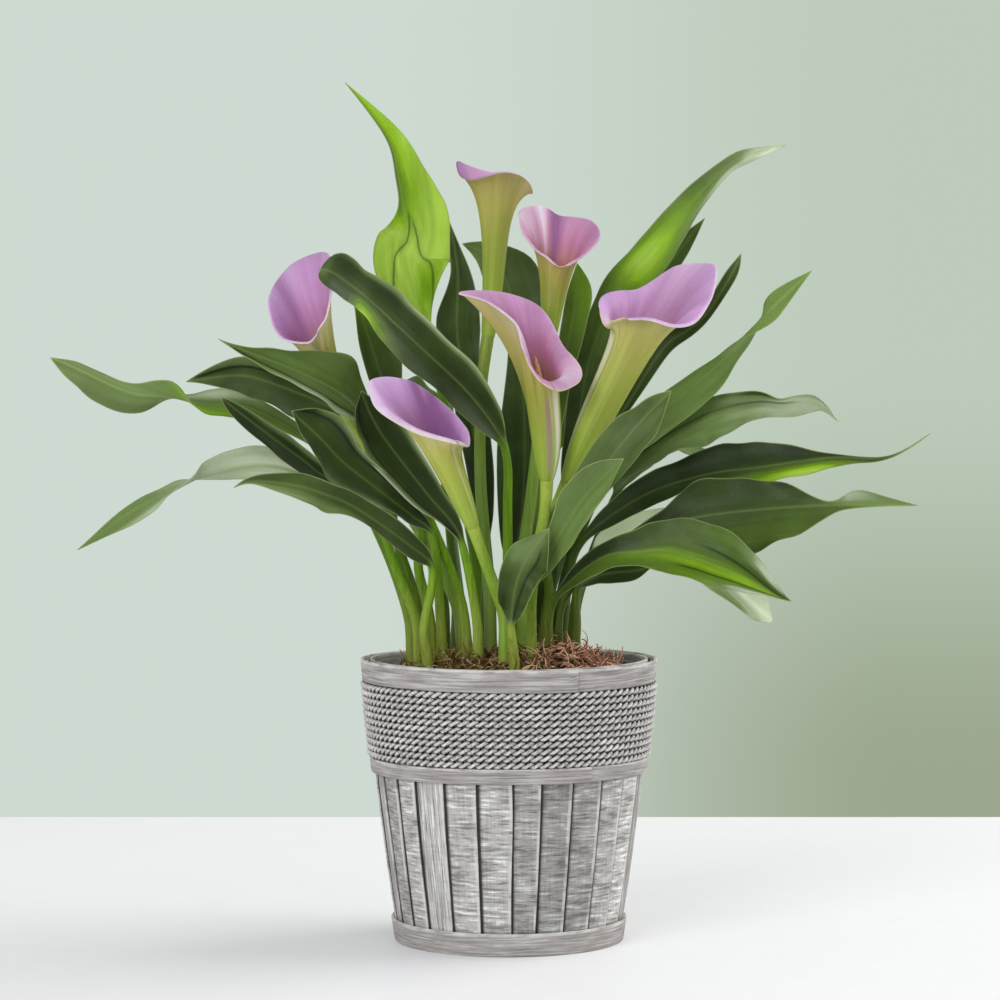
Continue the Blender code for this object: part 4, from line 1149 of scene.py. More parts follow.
# %% Draw the leaves on the left
LEAVES.update({
    "far_left": {
        "root": (-56, 6), "stalk": [(-60, 9, 192), (-77, 18, 238)],
        "spine": [(-105, 24, 285), (-153, 27, 316), (-184, 25, 320), (-204, 22, 325), (-229, 18, 327),
                  (-258, 11, 340), (-275, 4, 348)],
        "left": (8, 17, 12, 6, 7), "right": (8, 12, 9, 13, 10),
        "face": (0.3, -0.8, 0.5), "tip_face": (0.4, -0.7, 0.5),
        "young": (0.45, 0.1, 0.3, 0.1), "grey": (0.3, 0.5), "wave": 1.2,
        "roll": (0, 0, 20, 82, 150, 175, 180),
        "patches": [(0.38, -0.7, 0.16, 0.5, 0.5, -0.3), (0.3, 0.7, 0.2, 0.4, 0.1, 1.3)],
    },
    "left_dark": {
        "root": (-47, 15), "stalk": [(-53, 17, 194), (-69, 18, 242)],
        "spine": [(-73, 18, 278), (-99, 19, 311), (-113, 17, 321), (-127, 14, 327), (-157, 4, 337),
                  (-182, -10, 335), (-192, -14, 333)],
        "left": (18, 20, 21, 16, 4), "right": (10, 12, 12, 12, 4),
        "face": (0.4, -0.8, 0.4), "tip_face": (0.3, -0.8, 0.4),
        "young": (0.12, 0.15, 0.1, 0.12), "grey": (0.05, 0.35), "wave": 1.0,
        "patches": [(0.5, 0.9, 0.3, 0.3, 0.1, 1.0)],
        "creases": [[(0.1, 0.45), (0.85, 0.5)]],
    },
    "over_left_flower": {
        "root": (-20, -10), "stalk": [(-29, -10, 205), (-47, -17, 251)],
        "spine": [(-63, -16, 285), (-84, -28, 311), (-101, -39, 327), (-129, -50, 341),
                  (-153, -56, 350), (-169, -58, 358)],
        "left": (7, 14, 10, 4), "right": (7, 22, 12, 3),
        "face": (0.6, -0.7, 0.2), "tip_face": (0.4, -0.7, 0.6),
        "young": (0.35, 0.4, 0.15, 0.2), "grey": (0.1, 0.35), "wave": 1.0,
        "patches": [(0.4, -0.9, 0.35, 0.28, 0.2, 1.8), (0.45, 0.7, 0.3, 0.5, 0.1, 0.2)],
        "creases": [[(0.05, -0.55), (0.85, -0.6)]],
    },
    "narrow_left": {
        "root": (-43, 1), "stalk": [(-48, 0, 196), (-55, -4, 226)],
        "spine": [(-50, -3, 250), (-68, -7, 258), (-106, -18, 275), (-122, -23, 287),
                  (-138, -28, 299), (-161, -34, 317), (-169, -36, 324)],
        "left": (5, 8, 10, 10, 6), "right": (5, 7, 7, 7, 4),
        "face": (0.4, -0.8, 0.4), "tip_face": (0.5, -0.8, 0.4),
        "young": (0.02, 0.02, 0.02, 0.02), "grey": (0.1, 0.1), "wave": 0.7,
        "patches": [(0.45, 0.9, 0.4, 0.25, 0.05, 1.0)],
    },
    "big_left": {
        "root": (-38, -9), "stalk": [(-41, -17, 198)],
        "spine": [(-45, -20, 241), (-57, -27, 254), (-69, -36, 264), (-96, -54, 286),
                  (-108, -62, 299), (-117, -69, 308), (-125, -77, 316)],
        "left": (6, 9, 17, 14, 8), "right": (6, 9, 14, 17, 12),
        "face": (0.6, -0.8, 0.2), "tip_face": (0.7, -0.7, 0.1),
        "young": (0.08, 0.08, 0.1, 0.12), "grey": (0.05, 0.05), "wave": 1.0,
        "patches": [(0.5, 0.95, 0.3, 0.15, 0.1, 1.3), (0.4, -0.9, 0.2, 0.15, 0.1, 1.2)],
        "creases": [[(0.1, 0.75), (0.9, 0.7)]],
    },
    "behind_low_flower": {
        "root": (-17, -25), "stalk": [(-19, -26, 193)],
        "spine": [(-27, -27, 235), (-35, -28, 251), (-47, -29, 265), (-70, -33, 295),
                  (-79, -38, 309), (-84, -44, 320), (-86, -50, 328)],
        "left": (6, 12, 18, 15, 9), "right": (6, 10, 14, 11, 6),
        "face": (0.5, -0.8, 0.2), "tip_face": (0.6, -0.8, -0.3),
        "young": (0.03, 0.05, 0.03, 0.03), "grey": (0, 0), "wave": 0.9,
        "patches": [(0.4, -0.95, 0.3, 0.2, 0.2, 1.6), (0.45, 0.95, 0.25, 0.15, 0.1, 1.4)],
        "creases": [[(0.05, -0.7), (0.85, -0.65)]],
    },
    "low_left": {
        "root": (-52, -7), "stalk": [(-55, -8, 191), (-67, -8, 221)],
        "spine": [(-79, -7, 249), (-114, -6, 273), (-147, -5, 283), (-181, -9, 278),
                  (-192, -13, 273), (-221, -21, 258), (-254, -36, 234)],
        "left": (9, 13, 9, 9, 13), "right": (7, 8, 9, 7, 5),
        "face": (0.4, -0.8, 0.5), "tip_face": (-0.1, -0.8, 0.6),
        "young": (0.5, 0.42, 0.4, 0.42), "grey": (3.2, 0.5), "wave": 1.0,
        "roll": (180, 180, 150, 96, 50, 10, 0),
        "patches": [(0.25, 0.1, 0.25, 0.12, 0, -1.2), (0.15, 0.95, 0.3, 0.3, 0, -1.2),
                    (0.7, -0.9, 0.2, 0.3, 0.05, 0.9)],
    },
    "low_left_front": {
        "root": (-45, -19), "stalk": [(-50, -30, 190)],
        "spine": [(-45, -31, 222), (-58, -42, 237), (-89, -63, 260), (-106, -73, 268),
                  (-121, -81, 273), (-146, -91, 276), (-157, -95, 272)],
        "left": (8, 7, 12, 9, 2), "right": (7, 8, 7, 8, 3),
        "face": (0.7, -0.7, 0.1), "tip_face": (0.2, -0.9, 0.4),
        "young": (0.12, 0.15, 0.15, 0.15), "grey": (0.1, 0.25), "wave": 1.1,
        "patches": [(0.65, -0.8, 0.3, 0.4, 0.25, 0.9)],
    },
})
print(len(LEAVES), "leaves drawn")

# %% [markdown]
# ## The last leaves
#
# A short leaf stands in front of the stalks, and three arch out at the back, so that the plant is
# whole from every side.

# %% Draw the front leaf and the rear leaves
LEAVES.update({
    "front_centre": {
        "root": (6, -46), "stalk": [],
        "spine": [(1, -60, 190), (2, -65, 206), (5, -70, 220), (11, -74, 233), (23, -78, 249)],
        "left": (8, 11, 11), "right": (9, 12, 14),
        "face": (-0.2, -0.9, -0.3), "tip_face": (-0.1, -1, -0.2),
        "young": (0.2, 0.25, 0.16, 0.2), "grey": (0.1, 0.2), "wave": 4.5,
        "patches": [(0.85, -0.5, 0.2, 0.8, 0.1, 0.9)],
        "creases": [[(0.1, 0.3), (0.8, 0.45)]],
    },
    "rear_left": {
        "root": (-30, 46), "stalk": [(-31, 60, 196)],
        "spine": [(-41, 99, 278), (-47, 111, 296), (-53, 123, 313), (-62, 140, 325), (-72, 158, 334),
                  (-82, 177, 332), (-92, 196, 326)],
        "left": (13, 18, 19, 14, 8), "right": (13, 18, 18, 14, 8),
        "face": (0.4, -0.7, 0.6), "tip_face": (-0.1, 0.3, 1),
        "young": (0.2, 0.2, 0.2, 0.2), "grey": (0.15, 0.15), "sheath": 4.5, "wave": 1.0,
    },
    "rear_middle": {
        "root": (5, 58), "stalk": [(9, 74, 206)],
        "spine": [(20, 108, 277), (24, 120, 294), (29, 133, 311), (34, 148, 325), (41, 167, 332),
                  (47, 186, 333), (54, 206, 326)],
        "left": (14, 19, 20, 15, 9), "right": (14, 19, 19, 15, 8),
        "face": (-0.2, -0.8, 0.6), "tip_face": (0, 0.2, 1),
        "young": (0.15, 0.2, 0.15, 0.2), "grey": (0.1, 0.15), "sheath": 2.0, "wave": 1.0,
    },
    "rear_right": {
        "root": (37, 38), "stalk": [(42, 56, 200)],
        "spine": [(66, 94, 260), (76, 107, 273), (86, 120, 284), (99, 135, 288), (112, 150, 292),
                  (125, 165, 286), (138, 180, 280)],
        "left": (12, 16, 17, 12, 7), "right": (12, 16, 16, 12, 7),
        "face": (-0.4, -0.5, 0.8), "tip_face": (0.1, 0.3, 1),
        "young": (0.2, 0.25, 0.2, 0.25), "grey": (0.15, 0.15), "sheath": 1.5, "wave": 1.0,
    },
})
print(len(LEAVES), "leaves drawn")

# %% [markdown]
# ## The leaf's finish
#
# A leaf is darkest when old and lime green when younger. The same dark-to-lime tone also carries
# painted light and shade: it is raised where a part of a blade is lit and lowered where it lies in
# shade. A waxy face catches the sky and looks grey-green, and that sheen is painted into the colour
# as well. The underside is paler. A picture would need an unwrapped leaf, but the rule that grows the
# blade knows each point's tone, how grey it is and how far across it lies, so it stores those as
# attributes and the finish only has to turn them into colours.

# %% Colour the blade
DARK_TO_LIME_TONES = [
    (0.0, (0.018, 0.030, 0.008)), (0.15, (0.040, 0.068, 0.012)), (0.35, (0.085, 0.150, 0.016)),
    (0.6, (0.18, 0.32, 0.010)), (0.8, (0.36, 0.60, 0.020)), (1.0, (0.60, 0.82, 0.12))]
UNDERSIDE = (0.25, 0.35, 0.12)
# The grey tones below are painted sheen, a reflection of the sky, together with the leaf's own waxy
# paleness.
SHEEN_AND_WAX = (0.19, 0.27, 0.10)
PALE_SHEEN_AND_WAX = (0.50, 0.57, 0.40)
WHITE_SHEEN_AND_WAX = (0.93, 0.96, 0.78)

leaf_material, leaf = new_finish("leaf_green")
young, grey = leaf.attribute("young"), leaf.attribute("grey")
upper, stalked = leaf.attribute("upper"), leaf.attribute("stalked")
mottle = leaf.noise(45, 3)
specks = leaf.noise(420, 3)
# The tone from dark to lime: the leaf's own colour, raised and lowered as painted light and shade.
mottled_youth_and_light = young + (mottle - 0.5) * 0.22
underside = (1 - upper) * (1 - stalked)
# Painted sheen of the sky, together with real waxy paleness, turns the colour grey-green, and almost
# white where it is strongest.
sheen_and_wax = (grey + (mottle - 0.5) * 0.5) * (1 - stalked)
colour = leaf.mix(underside * 0.45, leaf.ramp(mottled_youth_and_light, DARK_TO_LIME_TONES), UNDERSIDE)
colour = leaf.mix(leaf.share(sheen_and_wax, 0.05, 1.0) * 0.75, colour, SHEEN_AND_WAX)
colour = leaf.mix(leaf.share(sheen_and_wax, 0.9, 1.7) * 0.85, colour, PALE_SHEEN_AND_WAX)
colour = leaf.mix(leaf.share(sheen_and_wax, 1.9, 3.0), colour, WHITE_SHEEN_AND_WAX)
print("leaf tones from dark to lime:", len(DARK_TO_LIME_TONES))

# %% [markdown]
# ## Veins, creases and margins
#
# Side veins leave the midrib and sweep towards the tip, so they are a sine wave along an attribute
# that already runs with them. Broader bands of painted light and shade lie between, as on a gently
# rippled blade. A crease is a thin line of painted shade with a soft painted shadow beside it, drawn
# by the distance from it. The midrib and the margin are paler than the blade.

# %% Draw the veins and the creases
VEIN_PITCH = 2.7
BAND_LENGTH = 0.012
BAND_WIDTH = 0.16
MIDRIB = (0.28, 0.40, 0.12)
MARGIN = (0.42, 0.50, 0.22)

from_midrib, vein_place = leaf.attribute("from_midrib"), leaf.attribute("vein_place")
band_place = leaf.vector(from_midrib * BAND_WIDTH, vein_place * BAND_LENGTH, young * 5)
bands = leaf.noise(1, 2, band_place, 0.5)
veins = leaf.math("SINE", vein_place * (2 * math.pi / VEIN_PITCH) + mottle * 6)
# Painted light and shade: the broad bands brighten and darken the blade as if it were rippled.
shade = 0.5 + veins * 0.012 + specks * 0.12 + bands * 0.9
# Painted shade along each crease: a thin dark line and a soft shadow beside it.
for name in ("crease_1", "crease_2"):
    beside = leaf.math("ABSOLUTE", leaf.attribute(name))
    crease_shade = leaf.share(beside, 1.1, 0.3) * 0.52 + leaf.share(beside, 4.5, 0.5) * 0.24
    shade = shade * (1 - crease_shade * leaf.attribute(name + "_shown"))
colour = leaf.brighten(colour, shade)
midrib = leaf.share(leaf.math("ABSOLUTE", from_midrib), 1.3, 0.2)
colour = leaf.mix(midrib * (0.2 + underside * 0.35), colour, MIDRIB)
margin = leaf.share(leaf.attribute("to_margin"), 0.9, 0.2) * (1 - stalked)
colour = leaf.mix(margin * 0.5, colour, MARGIN)
print("veins", VEIN_PITCH, "mm apart")

# %% [markdown]
# ## Stalks
#
# A stalk is pale where it leaves the moss, bright green above that and dark near the blade, with fine
# upright streaks. The stalks stand so close together that those at the back and at the right hardly
# get any light. The lamps alone don't show that strongly enough, so the finish helps.

# %% Streak and shade the stalks
STALK_FOOT = (0.34, 0.41, 0.06)
STALK_MIDDLE = (0.17, 0.34, 0.004)
STALK_TOP = (0.09, 0.18, 0.01)
BACK_SHADE = 0.66
RIGHT_SHADE = 0.62


def along_axis(finish, axis):
    """A place along one axis, in metres."""
    return finish.node("ShaderNodeSeparateXYZ", {}, {"Vector": finish.place()}, axis)


height = along_axis(leaf, "Z")
stalk_colour = leaf.mix(leaf.share(height, 0.165, 0.23), STALK_FOOT, STALK_MIDDLE)
stalk_colour = leaf.mix(leaf.share(height, 0.25, 0.36), stalk_colour, STALK_TOP)
stalk_streaks = leaf.noise(1, 3, leaf.place((900, 900, 25)), 0.6)
far = leaf.share(along_axis(leaf, "Y"), -0.02, 0.045)
right = leaf.share(along_axis(leaf, "X"), 0.008, 0.028)
shelter = (1 - far * BACK_SHADE) * (1 - right * RIGHT_SHADE)
stalk_colour = leaf.brighten(stalk_colour, (0.2 + stalk_streaks * 1.6) * shelter)
colour = leaf.mix(stalked * 0.85, colour, stalk_colour)
print("stalks shaded by", BACK_SHADE, "at the back")

# %% [markdown]
# ## Light through a leaf
#
# Light comes through a thin blade and leaves it yellow-green. Subsurface scattering could show that,
# but it is slow, so a translucent shader is mixed in, with more of it where the tone is nearer lime,
# which is where a leaf is younger and also where it is painted as lit.

# %% Let the light through
LIGHT_THROUGH = (0.38, 0.62, 0.02, 1)

relief = leaf.bump(veins * 0.06 + mottle * 5.0 + bands * 4.0 + specks * 0.5, 0.16 * MM)
skin = leaf.node("ShaderNodeBsdfPrincipled", {}, {
    "Base Color": colour,
    "Roughness": 0.36 + specks * 0.16 + underside * 0.2,
    "Specular IOR Level": 0.22,
    "Normal": relief,
}, "BSDF")
glow = leaf.node(
    "ShaderNodeBsdfTranslucent", {}, {"Color": LIGHT_THROUGH, "Normal": relief}, "BSDF")
thinness = 0.07 + leaf.share(mottled_youth_and_light, 0.15, 0.9) * 0.35
leaf.surface(leaf.node("ShaderNodeMixShader", {}, {0: thinness, 1: skin, 2: glow}, "Shader"))
print("leaf finish mixed")

# %% [markdown]
# ## The line of a leaf
#
# A stalk leaves the tuber under the moss, comes straight up through it and bends into the blade. A
# smooth curve through the drawing's points, a cubic from each point to the next, gives that line. The
# cuts across the leaf are spread along it at equal distances, because equal shares of the curve would
# crowd where its points are close.

# %% Follow a leaf's line
ROOT_HEIGHT = 134
COLLAR_HEIGHT = 174
STALK_STATIONS = 12
BLADE_STATIONS = 34
FINE_STEPS = 24


def curve_point(points, place):
    """The point at a place from 0 to len(points) - 1 along a smooth curve through all the points."""
    first = min(int(place), len(points) - 2)
    a, b, c, d = (points[max(0, min(i, len(points) - 1))] for i in range(first - 1, first + 3))
    t = place - first
    return ((b * 2) + (c - a) * t + (a * 2 - b * 5 + c * 4 - d) * t**2
            + (b * 3 - a - c * 3 + d) * t**3) * 0.5


def stalk_line(root, points):
    """The stalk's line, from under the moss, straight up through it and on through the points."""
    foot = Vector((*root, ROOT_HEIGHT))
    first = Vector(points[0])
    collar = foot.lerp(first, (COLLAR_HEIGHT - ROOT_HEIGHT) / (first.z - ROOT_HEIGHT))
    return [foot, collar] + [Vector(p) for p in points]


def even_steps(points, start, end, count):
    """Places along a curve from one of its points to another, at equal distances, and its length."""
    fine = FINE_STEPS * (end - start)
    places = [start + (end - start) * i / fine for i in range(fine + 1)]
    distance = [0.0]
    for a, b in zip(places, places[1:]):
        distance.append(distance[-1] + (curve_point(points, b) - curve_point(points, a)).length)
    steps = []
    i = 0
    for k in range(count + 1):
        target = distance[-1] * k / count
        while i < fine - 1 and distance[i + 1] < target:
            i += 1
        part = (target - distance[i]) / max(distance[i + 1] - distance[i], 1e-9)
        steps.append(places[i] + (places[i + 1] - places[i]) * min(part, 1))
    return steps, distance[-1]


def between(values, place):
    """A smooth value between the numbers of a list."""
    return curve_point([Vector((v, 0, 0)) for v in values], place).x


print("cuts a leaf:", STALK_STATIONS + BLADE_STATIONS)

# %% [markdown]
# ## Cuts across a leaf
#
# At each cut the rule needs the middle, the ways to the right and up, and the two half widths. The
# face turns gently from the neck to the tip, and a roll turns it further. The width starts from a
# rounded base and ends in the tip.

# %% Cut a leaf across
STALK_FOOT_RADIUS = 3.9
STALK_NECK_RADIUS = 2.5
BASE_ROUNDING = 0.5
BASE_SHARE = 0.4
LEAST_WIDTH = 0.3
TANGENT_STEP = 0.02


def half_width(plan, blade):
    """How wide a side of the blade is, at a place along it in steps of its spine."""
    if not blade:
        return 0
    width = between((BASE_SHARE * plan[0], *plan, 0), blade)
    rounded = min(1, math.sqrt(blade / BASE_ROUNDING))
    return max(width, LEAST_WIDTH) * rounded


def leaf_sections(leaf_plan):
    """One entry for each cut across the leaf: its middle, its axes, its widths and its place."""
    line = stalk_line(leaf_plan["root"], leaf_plan["stalk"] + leaf_plan["spine"])
    neck = len(line) - len(leaf_plan["spine"])
    tip = len(line) - 1
    stalk_places, _ = even_steps(line, 0, neck, STALK_STATIONS)
    blade_places, blade_length = even_steps(line, neck, tip, BLADE_STATIONS)
    face, tip_face = (Vector(leaf_plan[n]).normalized() for n in ("face", "tip_face"))
    foot_radius = STALK_FOOT_RADIUS + leaf_plan.get("sheath", 0)
    sections = []
    for place in stalk_places[:-1] + blade_places:
        ahead = curve_point(line, min(place + TANGENT_STEP, tip))
        forwards = (ahead - curve_point(line, max(place - TANGENT_STEP, 0))).normalized()
        blade = max(0, place - neck)
        share = blade / (tip - neck)
        right = forwards.cross(face.lerp(tip_face, share)).normalized()
        if blade and "roll" in leaf_plan:
            turn = math.radians(between(leaf_plan["roll"], blade))
            right = Matrix.Rotation(turn, 3, forwards) @ right
        sections.append({
            "middle": curve_point(line, place), "right": right, "up": right.cross(forwards),
            "blade": blade, "share": share, "distance": blade_length * share,
            "radius": foot_radius + (STALK_NECK_RADIUS - foot_radius) * min(1, place / neck),
            "left_width": half_width(leaf_plan["left"], blade),
            "right_width": half_width(leaf_plan["right"], blade),
        })
    return sections


print("stalks", 2 * STALK_FOOT_RADIUS, "mm thick at the foot")

# %% [markdown]
# ## The shape of a blade
#
# A blade isn't flat. It folds up along its midrib, bellies between the midrib and the margin, has a
# keel underneath that thins towards the tip, and ripples along its margins. Each of these is a short
# formula of the place along and across the blade. Where a crease runs, the surface takes a step.

# %% Shape a blade
BLADE_HALF_THICKNESS = 0.42
KEEL = 1.7
KEEL_THINNING = 0.75
FOLD = 0.27
BELLY = 0.055
RIPPLE_SHARE = 0.12
CREASE_STEP = 0.5
CREASE_WIDTH = 3
CREASE_FADE = 0.06
LONG_RIPPLE = 0.14
SHORT_RIPPLE = 0.31


def ripple(cut, seed, across):
    """How far the margin is up or down at a cut, from a long wave and a short one."""
    is_right = across > 0
    long_wave = math.sin(cut["distance"] * LONG_RIPPLE + seed * 2.1 + (1.3 if is_right else 0))
    short_wave = math.sin(cut["distance"] * SHORT_RIPPLE + seed * 1.3 + (2.1 if is_right else 0))
    fade = min(1, cut["share"] * 5) * min(1, (1 - cut["share"]) * 6)
    return (long_wave + 0.6 * short_wave) * fade


def blade_height(cut, leaf_plan, seed, across, depth):
    """How high a point lies over the spine; depth is 1 on the upper face and -1 on the lower."""
    width = cut["right_width"] if across > 0 else cut["left_width"]
    height = depth * BLADE_HALF_THICKNESS
    if depth < 0:
        thick = (1 - KEEL_THINNING * cut["share"]) * KEEL
        height += depth * thick * math.exp(-((across * width / KEEL) ** 2))
    height += abs(across) ** 1.5 * FOLD * width
    height -= BELLY * width * math.sin(math.pi * abs(across))
    wave = leaf_plan["wave"] * RIPPLE_SHARE * width * ripple(cut, seed, across)
    return height + wave * abs(across) ** 2.5


def crease_offset(path, share, across):
    """How far across a place is from a crease, and how much of the crease is left there."""
    for (start, start_across), (end, end_across) in zip(path, path[1:]):
        if start <= share <= end:
            part = (share - start) / (end - start)
            return across - start_across - (end_across - start_across) * part, 1.0
    nearest = path[0] if share < path[0][0] else path[-1]
    return across - nearest[1], max(0.0, 1 - abs(share - nearest[0]) / CREASE_FADE)


print("blades", 2 * BLADE_HALF_THICKNESS, "mm thick")

# %% [markdown]
# ## The tones of a blade
#
# The drawing gives four corners of a blade, and the tones between them follow from how far along and
# across a place is. Each patch adds a soft spot on top, and many are painted lit spots, painted shade
# and painted sheen. Painted vertex colours would have to be painted again whenever the mesh changes.

# %% Tone a blade
def leaf_tones(cut, leaf_plan, across):
    """The tone, with painted light and shade, and the grey, with painted sheen, of a leaf at a place."""
    side = min(1, max(0, 0.5 + 0.5 * across * leaf_plan.get("contrast", 1)))
    left_base, left_tip, right_base, right_tip = leaf_plan["young"]
    base_youth_and_light = left_base + (right_base - left_base) * side
    tip_youth_and_light = left_tip + (right_tip - left_tip) * side
    base_grey, tip_grey = leaf_plan["grey"]
    young = base_youth_and_light + (tip_youth_and_light - base_youth_and_light) * cut["share"]
    grey = base_grey + (tip_grey - base_grey) * cut["share"]
    # Many patches are painted lit spots, painted shade and painted sheen.
    for place, aside, long, wide, more_youth_and_light, more_grey in leaf_plan.get("patches", ()):
        near = math.exp(-(((cut["share"] - place) / long) ** 2) - ((across - aside) / wide) ** 2)
        young += more_youth_and_light * near
        grey += more_grey * near
    return young, grey


print("patches:", sum(len(leaf_plan.get("patches", ())) for leaf_plan in LEAVES.values()))

# %% [markdown]
# ## Growing the leaves
#
# A plane with Solidify would need a stalk joined on, with a seam. Instead one round bar, cut across
# many times, is flattened into the blade and left round in the stalk, so that the two are one closed
# skin. The same rule stores at each point what the finish reads.

# %% Grow the leaves
LEAF_SIDES = 20
NECK_LENGTH = 0.35
EDGE_POWER = 1.4
TIP_RADIUS = 0.15
FACE_EDGE = 0.05
VEIN_SWEEP = 0.9


def subdivide(piece, levels=1):
    """Rounds a piece with a subdivision surface."""
    modifier = piece.modifiers.new("subdivision", "SUBSURF")
    modifier.levels = levels
    modifier.render_levels = levels


def grow_leaf(name, leaf_plan, seed):
    """One leaf, from its drawing. The seed makes its ripples its own."""
    sections = leaf_sections(leaf_plan)
    bm = bar_blank(LEAF_SIDES, len(sections) - 2)
    names = ("young", "grey", "from_midrib", "vein_place", "to_margin", "upper", "stalked")
    young, grey, from_midrib, vein_place, to_margin, upper, stalked = (layer(bm, n) for n in names)
    creases = [(layer(bm, n), layer(bm, n + "_shown"), path) for n, path in zip(
        ("crease_1", "crease_2"), leaf_plan.get("creases", ()))]
    for vert in bm.verts:
        cut = sections[round(vert.co.z * (len(sections) - 1))]
        turn = math.atan2(vert.co.y, vert.co.x)
        sideways, depth = math.cos(turn), math.sin(turn)
        across = math.copysign(abs(sideways) ** EDGE_POWER, sideways)
        width = cut["right_width"] if across > 0 else cut["left_width"]
        height = blade_height(cut, leaf_plan, seed, across, depth)
        for beside, shown, path in creases:
            aside, strength = crease_offset(path, cut["share"], across)
            aside *= width
            vert[beside] = aside
            vert[shown] = strength
            height += strength * CREASE_STEP * aside / (1 + (aside / CREASE_WIDTH) ** 2)
        spread = min(1, cut["blade"] / NECK_LENGTH)
        spread = spread * spread * (3 - 2 * spread)
        x = sideways * cut["radius"] * (1 - spread) + across * width * spread
        y = depth * cut["radius"] * (1 - spread) + height * spread
        if cut["share"] >= 1:
            x, y = sideways * TIP_RADIUS, depth * TIP_RADIUS
        vert.co = cut["middle"] + cut["right"] * x + cut["up"] * y
        vert[young], vert[grey] = leaf_tones(cut, leaf_plan, across)
        vert[from_midrib] = x
        vert[vein_place] = cut["distance"] - VEIN_SWEEP * abs(x) + seed
        vert[to_margin] = (1 - abs(across)) * width
        vert[upper] = 1.0 if depth > FACE_EDGE else (0.5 if depth > -FACE_EDGE else 0.0)
        vert[stalked] = 1 - spread
    subdivide(show("blade_" + name, bm, [leaf_material], "leaf", "leaf_" + name))


for seed, (name, leaf_plan) in enumerate(LEAVES.items()):
    grow_leaf(name, leaf_plan, seed)
